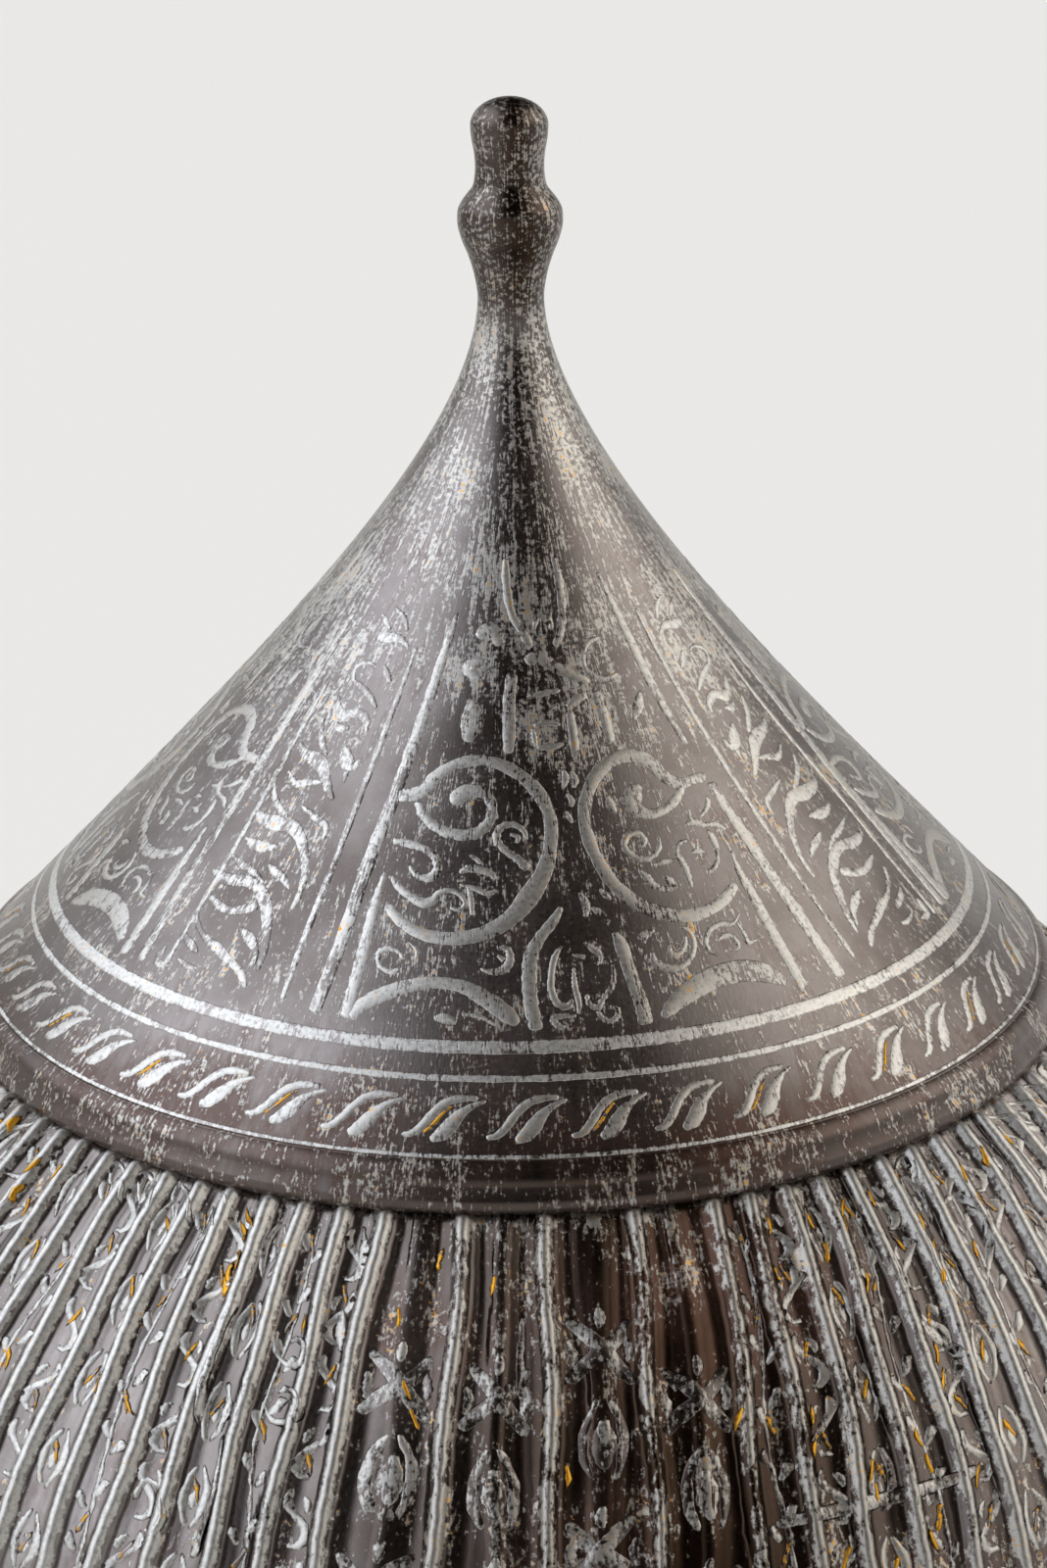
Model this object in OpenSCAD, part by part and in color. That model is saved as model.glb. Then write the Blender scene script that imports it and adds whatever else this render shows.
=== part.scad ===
// A fluted, silver-damascened cavalry helmet with a laminated neck guard: a lobster-tail helmet.
// +Z is up, -Y is the face side and +X is the wearer's left. The origin is the centre of the brow edge.

/* [Skull] */
// Outside diameter of the plain brow band
brow_d = 218; // [208:1:226]
// Thickness of the skull's plate
skull_wall = 1.6; // [1.3:0.1:2]
// Height of the plain brow band
band_h = 17; // [16:0.5:20]
// Height of the fluted zone above the brow band
flute_h = 62; // [54:1:70]
// Diameter of the fluted zone's upper end, at its crests
flute_top_d = 143.4; // [136:0.2:150]
// How far the fluted zone bulges above the brow band
flute_bulge = 4.1; // [2:0.1:4.4]
// Number of raised ribs round the skull
flutes = 100; // [80:4:104]
// Height of a rib above its channel
rib_h = 1.2; // [0.8:0.1:1.5]
// Width of a rib at its foot
rib_w = 2.2; // [1.6:0.1:2.8]
// Height from the fluted zone's upper end to the finial's neck
cone_h = 88.3; // [78:0.5:98]
// Diameter of the finial's neck
neck_d = 8.1; // [7:0.1:10]
// Diameter of the finial's lower knop
knop_d = 12.8; // [11:0.1:16]
// Diameter of the finial's upper knop
bud_d = 9.3; // [8.2:0.1:11]
// Height of the finial above its neck
finial_h = 23.7; // [20:0.1:30]

/* [Peak] */
// How far the peak's point stands out from the brow band
peak_reach = 56; // [46:1:64]
// Half of the angle that the peak takes of the brow
peak_half = 57; // [54:1:58]
// Thickness of the peak's plate
peak_t = 1.5; // [1.2:0.1:1.8]
// Fall of the peak below the horizontal
peak_fall = 16; // [12:1:20]
// Height of the peak's upright flange
flange_h = 12; // [11:0.5:14]
// Sharpness of the peak's point: how far its two side arcs are centred past the middle
peak_point = 30; // [18:1:42]
// Width of the raised rim round the peak
peak_rim = 3; // [2:0.5:4]

/* [Nasal] */
// Width of the nasal bar
bar_w = 12; // [10:0.5:14]
// Thickness of the nasal bar
bar_t = 3.4; // [2.8:0.1:4]
// Length of the bar below the brow when it is lowered
bar_drop = 86; // [78:1:94]
// Height of the leaf that guards the nose
nose_leaf_h = 28; // [22:1:32]
// Width of the leaf that guards the nose
nose_leaf_w = 24; // [18:1:28]
// Height of the bracket that the bar slides in
bracket_h = 32; // [28:1:34]
// Thickness of the bracket's walls
bracket_wall = 2.6; // [2.2:0.1:3]
// Radius of the wing screw's shank
screw_r = 2.4; // [2:0.1:2.8]

/* [Cheekpieces] */
// Angle of a cheekpiece's hinge from the front
cheek_angle = 72; // [71:0.5:73]
// Height of a cheekpiece
cheek_h = 112; // [100:1:122]
// Width of a cheekpiece at its top
cheek_w = 68; // [60:1:69]
// Thickness of a cheekpiece's plate
cheek_t = 1.3; // [1:0.1:1.6]
// Lean of a cheekpiece towards the jaw, as it hangs
cheek_lean = 1; // [0:0.1:3]
// Radius of a hinge pin
pin_r = 1.2; // [1:0.05:1.3]
// Width of a hinge
hinge_w = 26; // [22:1:28]
// Radius of the sound holes over the ear
ear_hole_r = 2.1; // [1.6:0.1:2.4]
// Thickness of a cheekpiece's padded lining
cheek_pad = 5; // [4:0.5:7]
// Width of a chin strap
strap_w = 14; // [12:0.5:15]
// Length of the chin strap with the holes
strap_len = 118; // [90:1:140]
// Distance from the strap's rivet to the buckle's upper bar
buckle_drop = 36; // [28:1:44]

/* [Neck guard] */
// Thickness of a neck lame
lame_t = 1.2; // [1:0.1:1.4]
// Distance from one lame's side pivot to the next
lame_pitch = 13; // [12:0.5:15]
// Angle that each lame's edge drops below the one above, towards the back
lame_fan = 4; // [3:0.25:5]
// Overlap of two lames
lame_lap = 10; // [9:0.5:11]
// Height of the lowest lame below its pivots
last_lame_h = 22; // [18:1:34]
// How far the guard flares outwards, for each millimetre that it falls
lame_flare = 0.15; // [0.13:0.01:0.18]
// Distance of the lames' side pivots behind the middle of the helmet
pivot_y = 12; // [12:0.5:16]
// Greatest lift of each lame, in degrees
lame_lift = 7; // [4:0.5:7]

/* [Lining] */
// Thickness of the leather band
leather_t = 2; // [1.6:0.1:2.2]
// Thickness of the quilted cap
quilt_t = 7; // [5:0.5:9]

/* [Plume holder] */
// Bore radius of the plume socket
plume_r = 3.5; // [3:0.1:3.6]
// Length of the plume socket
plume_len = 44; // [36:1:50]
// Height of the plume holder's leaf-shaped foot
plume_leaf_h = 27; // [24:0.5:29]
// Width of the plume holder's leaf-shaped foot
plume_leaf_w = 24; // [22:0.5:28]

/* [Hidden] */
$fn = 64;

// Clearances: plates riveted together, round a rivet, between sliding plates, in a hinge, at soft parts
seat_gap = 0.1;
hole_gap = 0.1;
slide_gap = 0.45;
pin_gap = 0.05;
soft_gap = 0.3;

steel = "#6f6a66";
dark_steel = "#3a302c";
silver = "#b9bbb6";
brass = "#b98a3c";
leather = "#5a3825";
quilt = "#8a2f2a";

brow_r = brow_d / 2;
inner_r = brow_r - skull_wall;
flute_top_r = flute_top_d / 2;
shoulder_z = band_h + flute_h;
cone_z = shoulder_z + 5;
neck_z = shoulder_z + cone_h;
far = 260;                          // beyond every piece

// Curves in the (radius, height) half plane
function bezier(p, t) = pow(1 - t, 3) * p[0] + 3 * t * pow(1 - t, 2) * p[1]
    + 3 * t * t * (1 - t) * p[2] + pow(t, 3) * p[3];
function slope(p, t) = let (s = 3 * pow(1 - t, 2) * (p[1] - p[0]) + 6 * t * (1 - t) * (p[2] - p[1])
    + 3 * t * t * (p[3] - p[2])) s / norm(s);
function inward(p, t) = let (s = slope(p, t)) [s[1], -s[0]];
function offset_curve(p, d, t0, t1, n) =
    [for (i = [0 : n]) let (t = t0 + (t1 - t0) * i / n) bezier(p, t) + d * inward(p, t)];
function arc(c, r, a0, a1, n) = [for (i = [0 : n]) let (a = a0 + (a1 - a0) * i / n)
    c + r * [cos(a), sin(a)]];
function reversed(p) = [for (i = [len(p) - 1 : -1 : 0]) p[i]];

// Crest line of the ribs, from under the collar down to the bead, and the cone from the neck down
crest_line = [[flute_top_r - 1.06, shoulder_z + 0.75], [flute_top_r + 17.4, shoulder_z - 12.3],
    [brow_r + 0.9 + flute_bulge, band_h + 21.4], [brow_r + 0.9, band_h]];
cone_line = [[neck_d / 2, neck_z], [neck_d / 2, neck_z - 18.7],
    [flute_top_r - 3.7 - 31.7, cone_z + 32.5], [flute_top_r - 3.7, cone_z]];
function crest_t(z, a = 0, b = 1, n = 24) = n == 0 ? (a + b) / 2 : let (m = (a + b) / 2)
    bezier(crest_line, m)[1] > z ? crest_t(z, m, b, n - 1) : crest_t(z, a, m, n - 1);
function crest_r(z) = bezier(crest_line, crest_t(z))[0];

// Places children with their +X pointing outwards at an angle from the front, +Y following the brow
module at_angle(a) rotate([0, 0, a - 90]) children();
// Places children with their +Z pointing outwards at an angle from the front and a height
module radial(a, z) at_angle(a) translate([0, 0, z]) rotate([0, 90, 0]) children();
module mirrored() mirror([1, 0, 0]) children();
module both_sides() { children(); mirrored() children(); }

// A rivet along +Z through a stack of plates from z = 0 to z = grip, with a domed head and a flat tail
module rivet(grip, shank = 1.3, head = 2.6, dome = 1.5, tail = 2) {
    dome_r = (head * head + dome * dome) / (2 * dome);
    start = asin(head / dome_r);
    rotate_extrude($fn = 32) polygon(concat(
        [[0, -seat_gap - 0.7], [tail, -seat_gap - 0.7], [tail, -seat_gap], [shank, -seat_gap],
        [shank, grip + seat_gap], [head, grip + seat_gap]],
        [for (i = [1 : 5]) let (a = start * (1 - i / 5))
            [dome_r * sin(a), grip + seat_gap + dome - dome_r * (1 - cos(a))]]));
}
module rivet_hole(from, to, shank = 1.3) translate([0, 0, from - 1])
    cylinder(r = shank + hole_gap, h = to - from + 2, $fn = 32);

// Band rivets: each set's angles from the front. All pass through the brow band and the leather band
rivet_z = 7;
bracket_rivet_x = 16;
bracket_zs = [4.6, 9.6];
bracket_angles = [for (s = [-1, 1]) s * asin(bracket_rivet_x / brow_r)];
peak_angles = [for (s = [-1, 1], a = [20, 35, 50]) s * a];
hinge_half_angle = asin((hinge_w / 2 - 4.5) / brow_r);
hinge_angles = [for (s = [-1, 1]) cheek_angle + s * hinge_half_angle];
brow_angles = [-88, 88];
top_lame_angles = [for (s = [-1, 1], a = [18, 46, 74]) 180 + s * a];
leather_face = inner_r - seat_gap - leather_t;
flange_r = brow_r + seat_gap + peak_t;
leaf_t = 1.2;
leaf_r = brow_r + seat_gap + leaf_t;
top_lame_r = brow_r + seat_gap + lame_t;
ear_t = 2;
ear_r = flange_r + seat_gap + ear_t;

module band_rivets(angles, z, face) for (a = angles)
    radial(a, z) translate([0, 0, leather_face]) rivet(face - leather_face);
module band_holes(from, to) {
    for (a = concat(peak_angles, hinge_angles, -hinge_angles, brow_angles, top_lame_angles))
        radial(a, rivet_z) rivet_hole(from, to);
    for (a = bracket_angles, z = bracket_zs) radial(a, z) rivet_hole(from, to);
}

// Skull: a turned crown with its finial, a fluted wall, and a plain brow band, all one plate
rows = 7;
module fluted_wall() {
    n = rows;
    points = [for (k = [0 : n - 1], j = [0 : flutes - 1], c = [0 : 3])
        let (t = k / (n - 1), crest = bezier(crest_line, t), d = [rib_h, 0, rib_h, rib_h + skull_wall][c],
            p = crest + d * inward(crest_line, t),
            a = j * 360 / flutes + [-1, 0, 1, 0][c] * (rib_w / 2) / crest[0] * 180 / PI)
        [p[0] * cos(a), p[0] * sin(a), p[1]]];
    function at(k, j, c) = (k * flutes + (c > 2 ? j + 1 : j) % flutes) * 4 + c % 3;
    function inside(k, j) = (k * flutes + j % flutes) * 4 + 3;
    function sheet(a, b, c, d) = [[a, b, c], [a, c, d]];
    faces = concat(
        [for (k = [0 : n - 2], j = [0 : flutes - 1], c = [0 : 2])
            each sheet(at(k, j, c), at(k, j, c + 1), at(k + 1, j, c + 1), at(k + 1, j, c))],
        [for (k = [0 : n - 2], j = [0 : flutes - 1])
            each sheet(inside(k, j), inside(k + 1, j), inside(k + 1, j + 1), inside(k, j + 1))],
        [for (j = [0 : flutes - 1], c = [0 : 2]) [inside(0, j), at(0, j, c + 1), at(0, j, c)]],
        [for (j = [0 : flutes - 1]) [inside(0, j), inside(0, j + 1), at(0, j, 3)]],
        [for (j = [0 : flutes - 1], c = [0 : 2]) [inside(n - 1, j), at(n - 1, j, c), at(n - 1, j, c + 1)]],
        [for (j = [0 : flutes - 1]) [inside(n - 1, j), at(n - 1, j, 3), inside(n - 1, j + 1)]]);
    polyhedron(points = points, faces = faces, convexity = 10);
}

// The finial swells twice: a lower knop, a waist, an upper bud, and a small round tip
module crown() {
    waist_z = neck_z + finial_h * 0.62;
    tip_z = neck_z + finial_h;
    waist_r = neck_d / 2;
    finial = concat(
        [for (i = [0 : 12]) let (u = i / 12)
            [waist_r + (knop_d / 2 - waist_r) * pow(sin(180 * u), 1.6), neck_z + (waist_z - neck_z) * u]],
        [for (i = [1 : 10]) let (u = i / 10)
            [u < 0.4 ? waist_r + (bud_d / 2 - waist_r) * sin(90 * u / 0.4)
                : bud_d / 2 * sqrt(1 - pow((u - 0.4) / 0.6, 2)), waist_z + (tip_z - waist_z) * u]]);
    collar = concat([[flute_top_r - 1.75, shoulder_z - 1.1], [flute_top_r - 0.4, shoulder_z + 0.2],
        [flute_top_r - 0.8, shoulder_z + 1.4]],
        arc([flute_top_r - 4.5, shoulder_z + 2.2], 2.9, 5, 75, 6));
    cone = offset_curve(cone_line, 0, 0, 1, 16);
    hollow = offset_curve(cone_line, skull_wall, 0.42, 1, 9);
    rotate_extrude() polygon(concat(
        [[0, hollow[0][1] + hollow[0][0]]], hollow, [[flute_top_r - 2.6, shoulder_z - 0.9]],
        collar, reversed(cone), [for (i = [1 : len(finial) - 1]) finial[i]]));
}

module brow_band() {
    bead = arc([brow_r - 0.1, band_h], 1.5, -70, 110, 9);
    rotate_extrude() polygon(concat(
        [[inner_r, 0.4], [inner_r + 0.4, 0], [brow_r - 0.4, 0], [brow_r, 0.4], [brow_r, band_h - 1.7]],
        bead, [[inner_r - 0.5, band_h + 0.8], [inner_r - 0.5, band_h - 0.6], [inner_r, band_h - 1.6]]));
}

module skull() color(dark_steel) difference() {
    union() { crown(); fluted_wall(); brow_band(); }
    band_holes(inner_r, brow_r);
    plume_rivet_places() rivet_hole(-1, 6);
}

// Peak: a falling pointed brim, with an upright flange that is riveted round the brow
flange_in = brow_r + seat_gap;
peak_top_z = 1.6;
peak_end = [flange_r * sin(peak_half), flange_r * cos(peak_half)];
peak_tip = brow_r + peak_reach;
peak_cy = (pow(peak_end[0] + peak_point, 2) + pow(peak_end[1], 2) - pow(peak_point, 2) - pow(peak_tip, 2))
    / (2 * (peak_end[1] - peak_tip));
peak_arc_r = sqrt(pow(peak_point, 2) + pow(peak_tip - peak_cy, 2));
function peak_z(r) = peak_top_z - (r - flange_r) * tan(peak_fall);

module peak_outline(inset) translate([0, 0, -far / 2]) linear_extrude(far) intersection() {
    translate([peak_point, -peak_cy]) circle(r = peak_arc_r - inset, $fn = 160);
    translate([-peak_point, -peak_cy]) circle(r = peak_arc_r - inset, $fn = 160);
    translate([-far, -far]) square([2 * far, far]);
}
module peak_shell(extra) {
    drop = peak_t / cos(peak_fall);
    edge = peak_tip + 4;
    rotate_extrude($fn = 160) polygon([[flange_in, flange_h], [flange_r, flange_h],
        [flange_r, peak_top_z + extra], [edge, peak_z(edge) + extra], [edge, peak_z(edge) - drop],
        [flange_in, peak_z(flange_in) - drop]]);
}
bar_back = ear_r + 0.3 + slide_gap;
bar_front = bar_back + bar_t;

module peak() color(steel) difference() {
    union() {
        intersection() { peak_shell(0); peak_outline(0); }
        intersection() {
            difference() {
                peak_shell(0.7);
                translate([0, 0, -far / 2]) cylinder(r = flange_r, h = far, $fn = 160);
            }
            difference() { peak_outline(0); peak_outline(peak_rim); }
        }
    }
    translate([-bar_w / 2 - slide_gap, -bar_front - slide_gap, -far / 2])
        cube([bar_w + 2 * slide_gap, bar_t + 2 * slide_gap, far]);
    for (a = peak_angles) radial(a, rivet_z) rivet_hole(brow_r, flange_r);
    for (a = bracket_angles, z = bracket_zs) radial(a, z) rivet_hole(brow_r, flange_r);
}
module peak_rivets() color(brass) band_rivets(peak_angles, rivet_z, flange_r);

// Nasal bracket: a square guide with two riveted ears, and a threaded boss for the wing screw
bracket_z = 2;
bracket_top = bracket_z + bracket_h;
bracket_front = bar_front + slide_gap + bracket_wall;
screw_z = bracket_z + bracket_h * 0.62;
boss_front = bracket_front + 3;
guide_w = bar_w + 2 * slide_gap + 2 * bracket_wall;

module nasal_bracket() color(steel) difference() {
    union() {
        translate([-guide_w / 2, -bracket_front, bracket_z])
            cube([guide_w, bracket_front - flange_r - seat_gap, bracket_h]);
        intersection() {
            difference() {
                cylinder(r = ear_r, h = flange_h - 0.3, $fn = 160);
                translate([0, 0, -1]) cylinder(r = flange_r + seat_gap, h = far, $fn = 160);
            }
            translate([0, 0, flange_h / 2 + 0.8]) rotate([90, 0, 0]) linear_extrude(far) union() {
                square([2 * bracket_rivet_x, flange_h - 2.4], center = true);
                for (s = [-1, 1]) translate([s * bracket_rivet_x, 0]) circle(d = flange_h - 2.4);
            }
        }
        translate([0, 1 - bracket_front, screw_z]) rotate([90, 0, 0])
            cylinder(r = screw_r + 2.6, h = 1 + boss_front - bracket_front);
    }
    translate([-bar_w / 2 - slide_gap, -bar_front - slide_gap, -far / 2])
        cube([bar_w + 2 * slide_gap, bar_t + 2 * slide_gap, far]);
    translate([0, -bar_front, screw_z]) rotate([90, 0, 0]) cylinder(r = screw_r + pin_gap, h = far);
    for (a = bracket_angles, z = bracket_zs) radial(a, z) rivet_hole(flange_r, ear_r);
}
module bracket_rivets() color(brass) for (z = bracket_zs)
    for (a = bracket_angles) radial(a, z) translate([0, 0, leather_face])
        rivet(ear_r - leather_face, head = 2.1, tail = 2);

// Nasal bar: slides in the bracket. A leaf on top stops it when lowered, and the nose leaf when raised
stop_h = 17;
stop_w = bar_w + 10;
function leaf_side(w, h) = [for (i = [0 : 10])
    bezier([[w * 0.4, 0], [w * 0.6, h * 0.2], [w * 0.5, h * 0.62], [0, h]], i / 10)];
function bar_side() = concat(
    [for (p = reversed(leaf_side(stop_w, stop_h))) p + [0, bracket_top + 0.3]],
    [[bar_w / 2, bracket_top + 0.3], [bar_w / 2, nose_leaf_h - bar_drop]],
    [for (p = leaf_side(nose_leaf_w, nose_leaf_h)) [p[0], nose_leaf_h - bar_drop - p[1]]]);
module nasal_bar() color(silver) translate([0, -bar_back, 0]) rotate([90, 0, 0]) linear_extrude(bar_t)
    polygon(concat(bar_side(), [for (i = [len(bar_side()) - 2 : -1 : 1]) [-bar_side()[i][0],
        bar_side()[i][1]]]));

// Wing screw: its tip presses on the bar and locks it
module wing_screw() color(brass) translate([0, 0, screw_z]) rotate([90, 0, 0]) {
    translate([0, 0, bar_front + 0.3]) cylinder(r = screw_r, h = boss_front - bar_front + 2);
    translate([0, 0, boss_front + 0.4]) cylinder(r1 = screw_r + 1.6, r2 = screw_r, h = 4);
    translate([0, 0, boss_front + 3]) for (s = [0, 180]) rotate([0, 0, s]) rotate([90, 0, 0])
        translate([0, 0, -1.2]) linear_extrude(2.4) union() {
            translate([8, 3.4]) circle(r = 4.2, $fn = 48);
            polygon([[0, 0], [6, -0.4], [6, 5.4], [0, 3]]);
        }
}

// Plume holder: a leaf-shaped foot riveted to the back of the skull, with a socket for the plume's stem
plume_wall = 1.1;
plume_lean = 14;
plume_foot_z = 20;
plume_axis_r = crest_r(plume_foot_z) + 6.7;
plume_plate_t = 1.3;
plume_rivet_back = 0.9;
module plume_rivet_places() for (s = [-1, 1], z = [band_h + 7, band_h + 15])
    radial(180 + s * asin(7.6 / brow_r), z)
        translate([0, 0, crest_r(z) - rib_h - skull_wall - plume_rivet_back]) children();
module plume_frame() at_angle(180) translate([plume_axis_r, 0, plume_foot_z]) rotate([0, -plume_lean, 0])
    children();
// Right half of the foot's outline: a low belly that narrows to a point above
function plume_leaf_side() = let (w = plume_leaf_w / 2, h = plume_leaf_h) concat(
    [for (i = [0 : 8]) bezier([[0, h], [w * 0.42, h * 0.78], [w, h * 0.67], [w, h / 3]], i / 8)],
    [for (i = [1 : 8]) bezier([[w, h / 3], [w, h * 0.07], [w * 0.58, 0.2], [0, 0]], i / 8)]);
module plume_holder() color(brass) difference() {
    union() {
        intersection() {
            rotate_extrude($fn = 128) polygon(concat(
                offset_curve(crest_line, -seat_gap - plume_plate_t, 0.58, 0.96, 7),
                reversed(offset_curve(crest_line, -seat_gap, 0.58, 0.96, 7))));
            translate([0, far, band_h + 2]) rotate([90, 0, 0]) linear_extrude(far) polygon(concat(
                plume_leaf_side(), [for (p = reversed(plume_leaf_side())) if (p[0] > 0) [-p[0], p[1]]]));
        }
        plume_frame() {
            cylinder(r = plume_r + plume_wall, h = plume_len);
            translate([0, 0, plume_len - 3]) cylinder(r = plume_r + plume_wall + 0.8, h = 3);
            translate([0, 0, plume_len - 8]) cylinder(r = plume_r + plume_wall + 0.5, h = 1.6);
            translate([0, 0, -2.2]) sphere(r = 2.6);
            translate([0, 0, -1.6]) cylinder(r1 = 2.2, r2 = plume_r + plume_wall, h = 1.6);
        }
    }
    plume_frame() translate([0, 0, 3]) cylinder(r = plume_r, h = plume_len);
    plume_rivet_places() rivet_hole(-1, 8);
}
module plume_rivets() color(brass) plume_rivet_places()
    rivet(plume_rivet_back + rib_h + skull_wall + seat_gap + plume_plate_t + 0.7, head = 2.1, tail = 1.8);

// Lining: a leather band riveted inside the brow, and a quilted cap sewn to it
module lining_band() color(leather) difference() {
    rotate_extrude($fn = 128) polygon([[leather_face, 1.5], [inner_r - seat_gap, 1.5],
        [inner_r - seat_gap, band_h - 4], [leather_face, band_h - 4]]);
    band_holes(leather_face - 1, inner_r);
}
module lining_cap() color(quilt) difference() {
    rotate_extrude($fn = 96) polygon(concat(
        reversed(cap_side(soft_gap + 0.2)), cap_dome(soft_gap + 0.2, 1),
        reversed(cap_dome(soft_gap + 0.2 + quilt_t, 0)), cap_side(soft_gap + 0.2 + quilt_t)));
    plume_rivet_places() translate([0, 0, -2]) cylinder(r = 2.6, h = 3.4);
}
cap_foot = [0, 4 - soft_gap];
function cap_side(d) = concat(offset_curve(crest_line, rib_h + skull_wall + d, 0.08, 0.99, 8),
    [[crest_line[3][0] - rib_h - skull_wall - d, band_h - 4 + soft_gap]]);
function cap_dome(d, last) = let (r = flute_top_r - 5 - d * 0.9, z = shoulder_z + 1 - d * 0.6)
    [for (i = [0 : 8]) let (a = i * 90 / 8) [r * cos(a), z + (22 - d * 0.4) * sin(a)]];
module brow_rivets() color(brass) band_rivets(brow_angles, rivet_z, brow_r);

// Cheekpiece hinge: an upper leaf on the brow band, a pin, and a lower leaf on the plate
knuckle_r = pin_r + 1.2;
hinge_u = brow_r + 0.3;
hinge_z = -knuckle_r - 0.8;
knuckle_gap = 0.3;
mid_knuckle = hinge_w * 0.4;
module hinge_axis(w0, w1) translate([hinge_u, w0, hinge_z]) rotate([-90, 0, 0]) linear_extrude(w1 - w0)
    children();
module ring_part(r_in, r_out, z0, z1, w) intersection() {
    difference() {
        translate([0, 0, z0]) cylinder(r = r_out, h = z1 - z0, $fn = 160);
        translate([0, 0, z0 - 1]) cylinder(r = r_in, h = z1 - z0 + 2, $fn = 160);
    }
    translate([0, -w / 2, z0 - 1]) cube([far, w, z1 - z0 + 2]);
}
module left_hinge_leaf() color(steel) at_angle(cheek_angle) difference() {
    union() {
        ring_part(brow_r + seat_gap, leaf_r, hinge_z, 12.5, hinge_w);
        hinge_axis(-hinge_w / 2, hinge_w / 2) circle(r = knuckle_r);
    }
    translate([0, -mid_knuckle / 2 - knuckle_gap, hinge_z - knuckle_r - 1])
        cube([far, mid_knuckle + 2 * knuckle_gap, 2 * knuckle_r + 1.4]);
    hinge_axis(-hinge_w, hinge_w) circle(r = pin_r + pin_gap);
    for (a = hinge_angles) rotate([0, 0, a - cheek_angle]) translate([0, 0, rivet_z]) rotate([0, 90, 0])
        rivet_hole(brow_r, leaf_r);
}
pin_head = 1.3;
module left_hinge_pin() color(silver) at_angle(cheek_angle) {
    end = hinge_w / 2 + seat_gap;
    hinge_axis(-end - pin_head, end + pin_head) circle(r = pin_r);
    hinge_axis(-end - pin_head, -end) circle(r = pin_r + 0.7);
    hinge_axis(end, end + pin_head) circle(r = pin_r + 0.7);
}
module left_hinge_rivets() color(brass) band_rivets(hinge_angles, rivet_z, leaf_r);
module right_hinge_leaf() mirrored() left_hinge_leaf();
module right_hinge_pin() mirrored() left_hinge_pin();
module right_hinge_rivets() mirrored() left_hinge_rivets();

// Cheekpieces hang in a frame whose +X points outwards and +Y follows the brow to the back
cheek_out = hinge_u - leaf_t / 2 - seat_gap;
cheek_in = cheek_out - cheek_t;
cheek_top = hinge_z - knuckle_r - 1;
cheek_bottom = cheek_top - cheek_h;
chin_w = -8;
strap_z = cheek_bottom + 10;
module on_cheek() at_angle(cheek_angle) translate([hinge_u, 0, hinge_z]) rotate([0, cheek_lean, 0])
    translate([-hinge_u, 0, -hinge_z]) children();

// Outline, drawn in (along the brow, height): straight top, hollow front, full back, round chin
function cheek_outline(d) = let (h = cheek_w / 2 - d, t = cheek_top - d, b = cheek_bottom + d,
    c = [chin_w, b + 13 - d]) concat(
    [[h, t]],
    [for (i = [1 : 10]) bezier([[-h, t], [-h - 1, t - 26], [chin_w - 9, t - 48], [chin_w - 13 + d, c[1]]],
        i / 10)],
    [for (i = [1 : 9]) let (a = 180 + i * 18) c + (13 - d) * [cos(a), sin(a)]],
    [for (i = [0 : 9]) bezier([[chin_w + 13 - d, c[1]], [chin_w + 24 - d, t - 70], [h + 1, t - 50], [h, t]],
        i / 10)]);
module cheek_prism(d, from, to) translate([from, 0, 0]) rotate([90, 0, 90]) linear_extrude(to - from)
    polygon(concat([[-cheek_w / 2 + d, cheek_top - d]], [for (i = [1 : len(cheek_outline(d)) - 1])
        cheek_outline(d)[i]], [[cheek_w / 2 - d, cheek_top - d]]));
module cheek_shell(r_in, r_out) difference() {
    translate([0, 0, cheek_bottom - 5]) cylinder(r = r_out, h = cheek_h + 10, $fn = 160);
    translate([0, 0, cheek_bottom - 6]) cylinder(r = r_in, h = cheek_h + 12, $fn = 160);
}

// Ear boss: a low dome with seven sound holes
boss_w = 9;
boss_z = cheek_top - 44;
boss_ball = 24;
boss_base = 14.5;
boss_u = sqrt(pow(cheek_out, 2) - pow(boss_w, 2)) - sqrt(pow(boss_ball, 2) - pow(boss_base, 2));
module ear_dome(r, base) translate([boss_u, boss_w, boss_z]) rotate([0, 90, 0]) rotate_extrude() polygon(concat(
    [[0, -6]], [[base, -6]], [for (i = [0 : 7]) let (a = asin(base / r) * (1 - i / 7))
        r * [sin(a), cos(a)]]));
module ear_holes() translate([boss_u, boss_w, boss_z]) rotate([0, 90, 0]) {
    cylinder(r = ear_hole_r, h = far);
    for (a = [0 : 60 : 300]) rotate([0, 0, a]) translate([7.6, 0, 0]) cylinder(r = ear_hole_r, h = far);
}

// Rivets of a cheekpiece, each given as [along the brow, height]
leaf_w = 22;
leaf_h = 15;
leaf_places = [for (s = [-1, 1]) [s * (leaf_w / 2 - 4), cheek_top - 5.5]];
stud_places = [[-cheek_w / 2 + 5, cheek_top - 5], [cheek_w / 2 - 5, cheek_top - 5],
    [cheek_w / 2 - 5.5, cheek_top - 30], [cheek_w / 2 - 11.5, cheek_top - 60], [-25, cheek_top - 42],
    [-21, cheek_top - 70], [chin_w + 12, cheek_top - 86]];
strap_place = [chin_w, strap_z];
function plate_u(p, r) = sqrt(pow(r, 2) - pow(p[0], 2));
module on_plate(p, r) translate([0, 0, p[1]]) rotate([0, 0, asin(p[0] / cheek_out)]) translate([r, 0, 0])
    rotate([0, 90, 0]) children();

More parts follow.
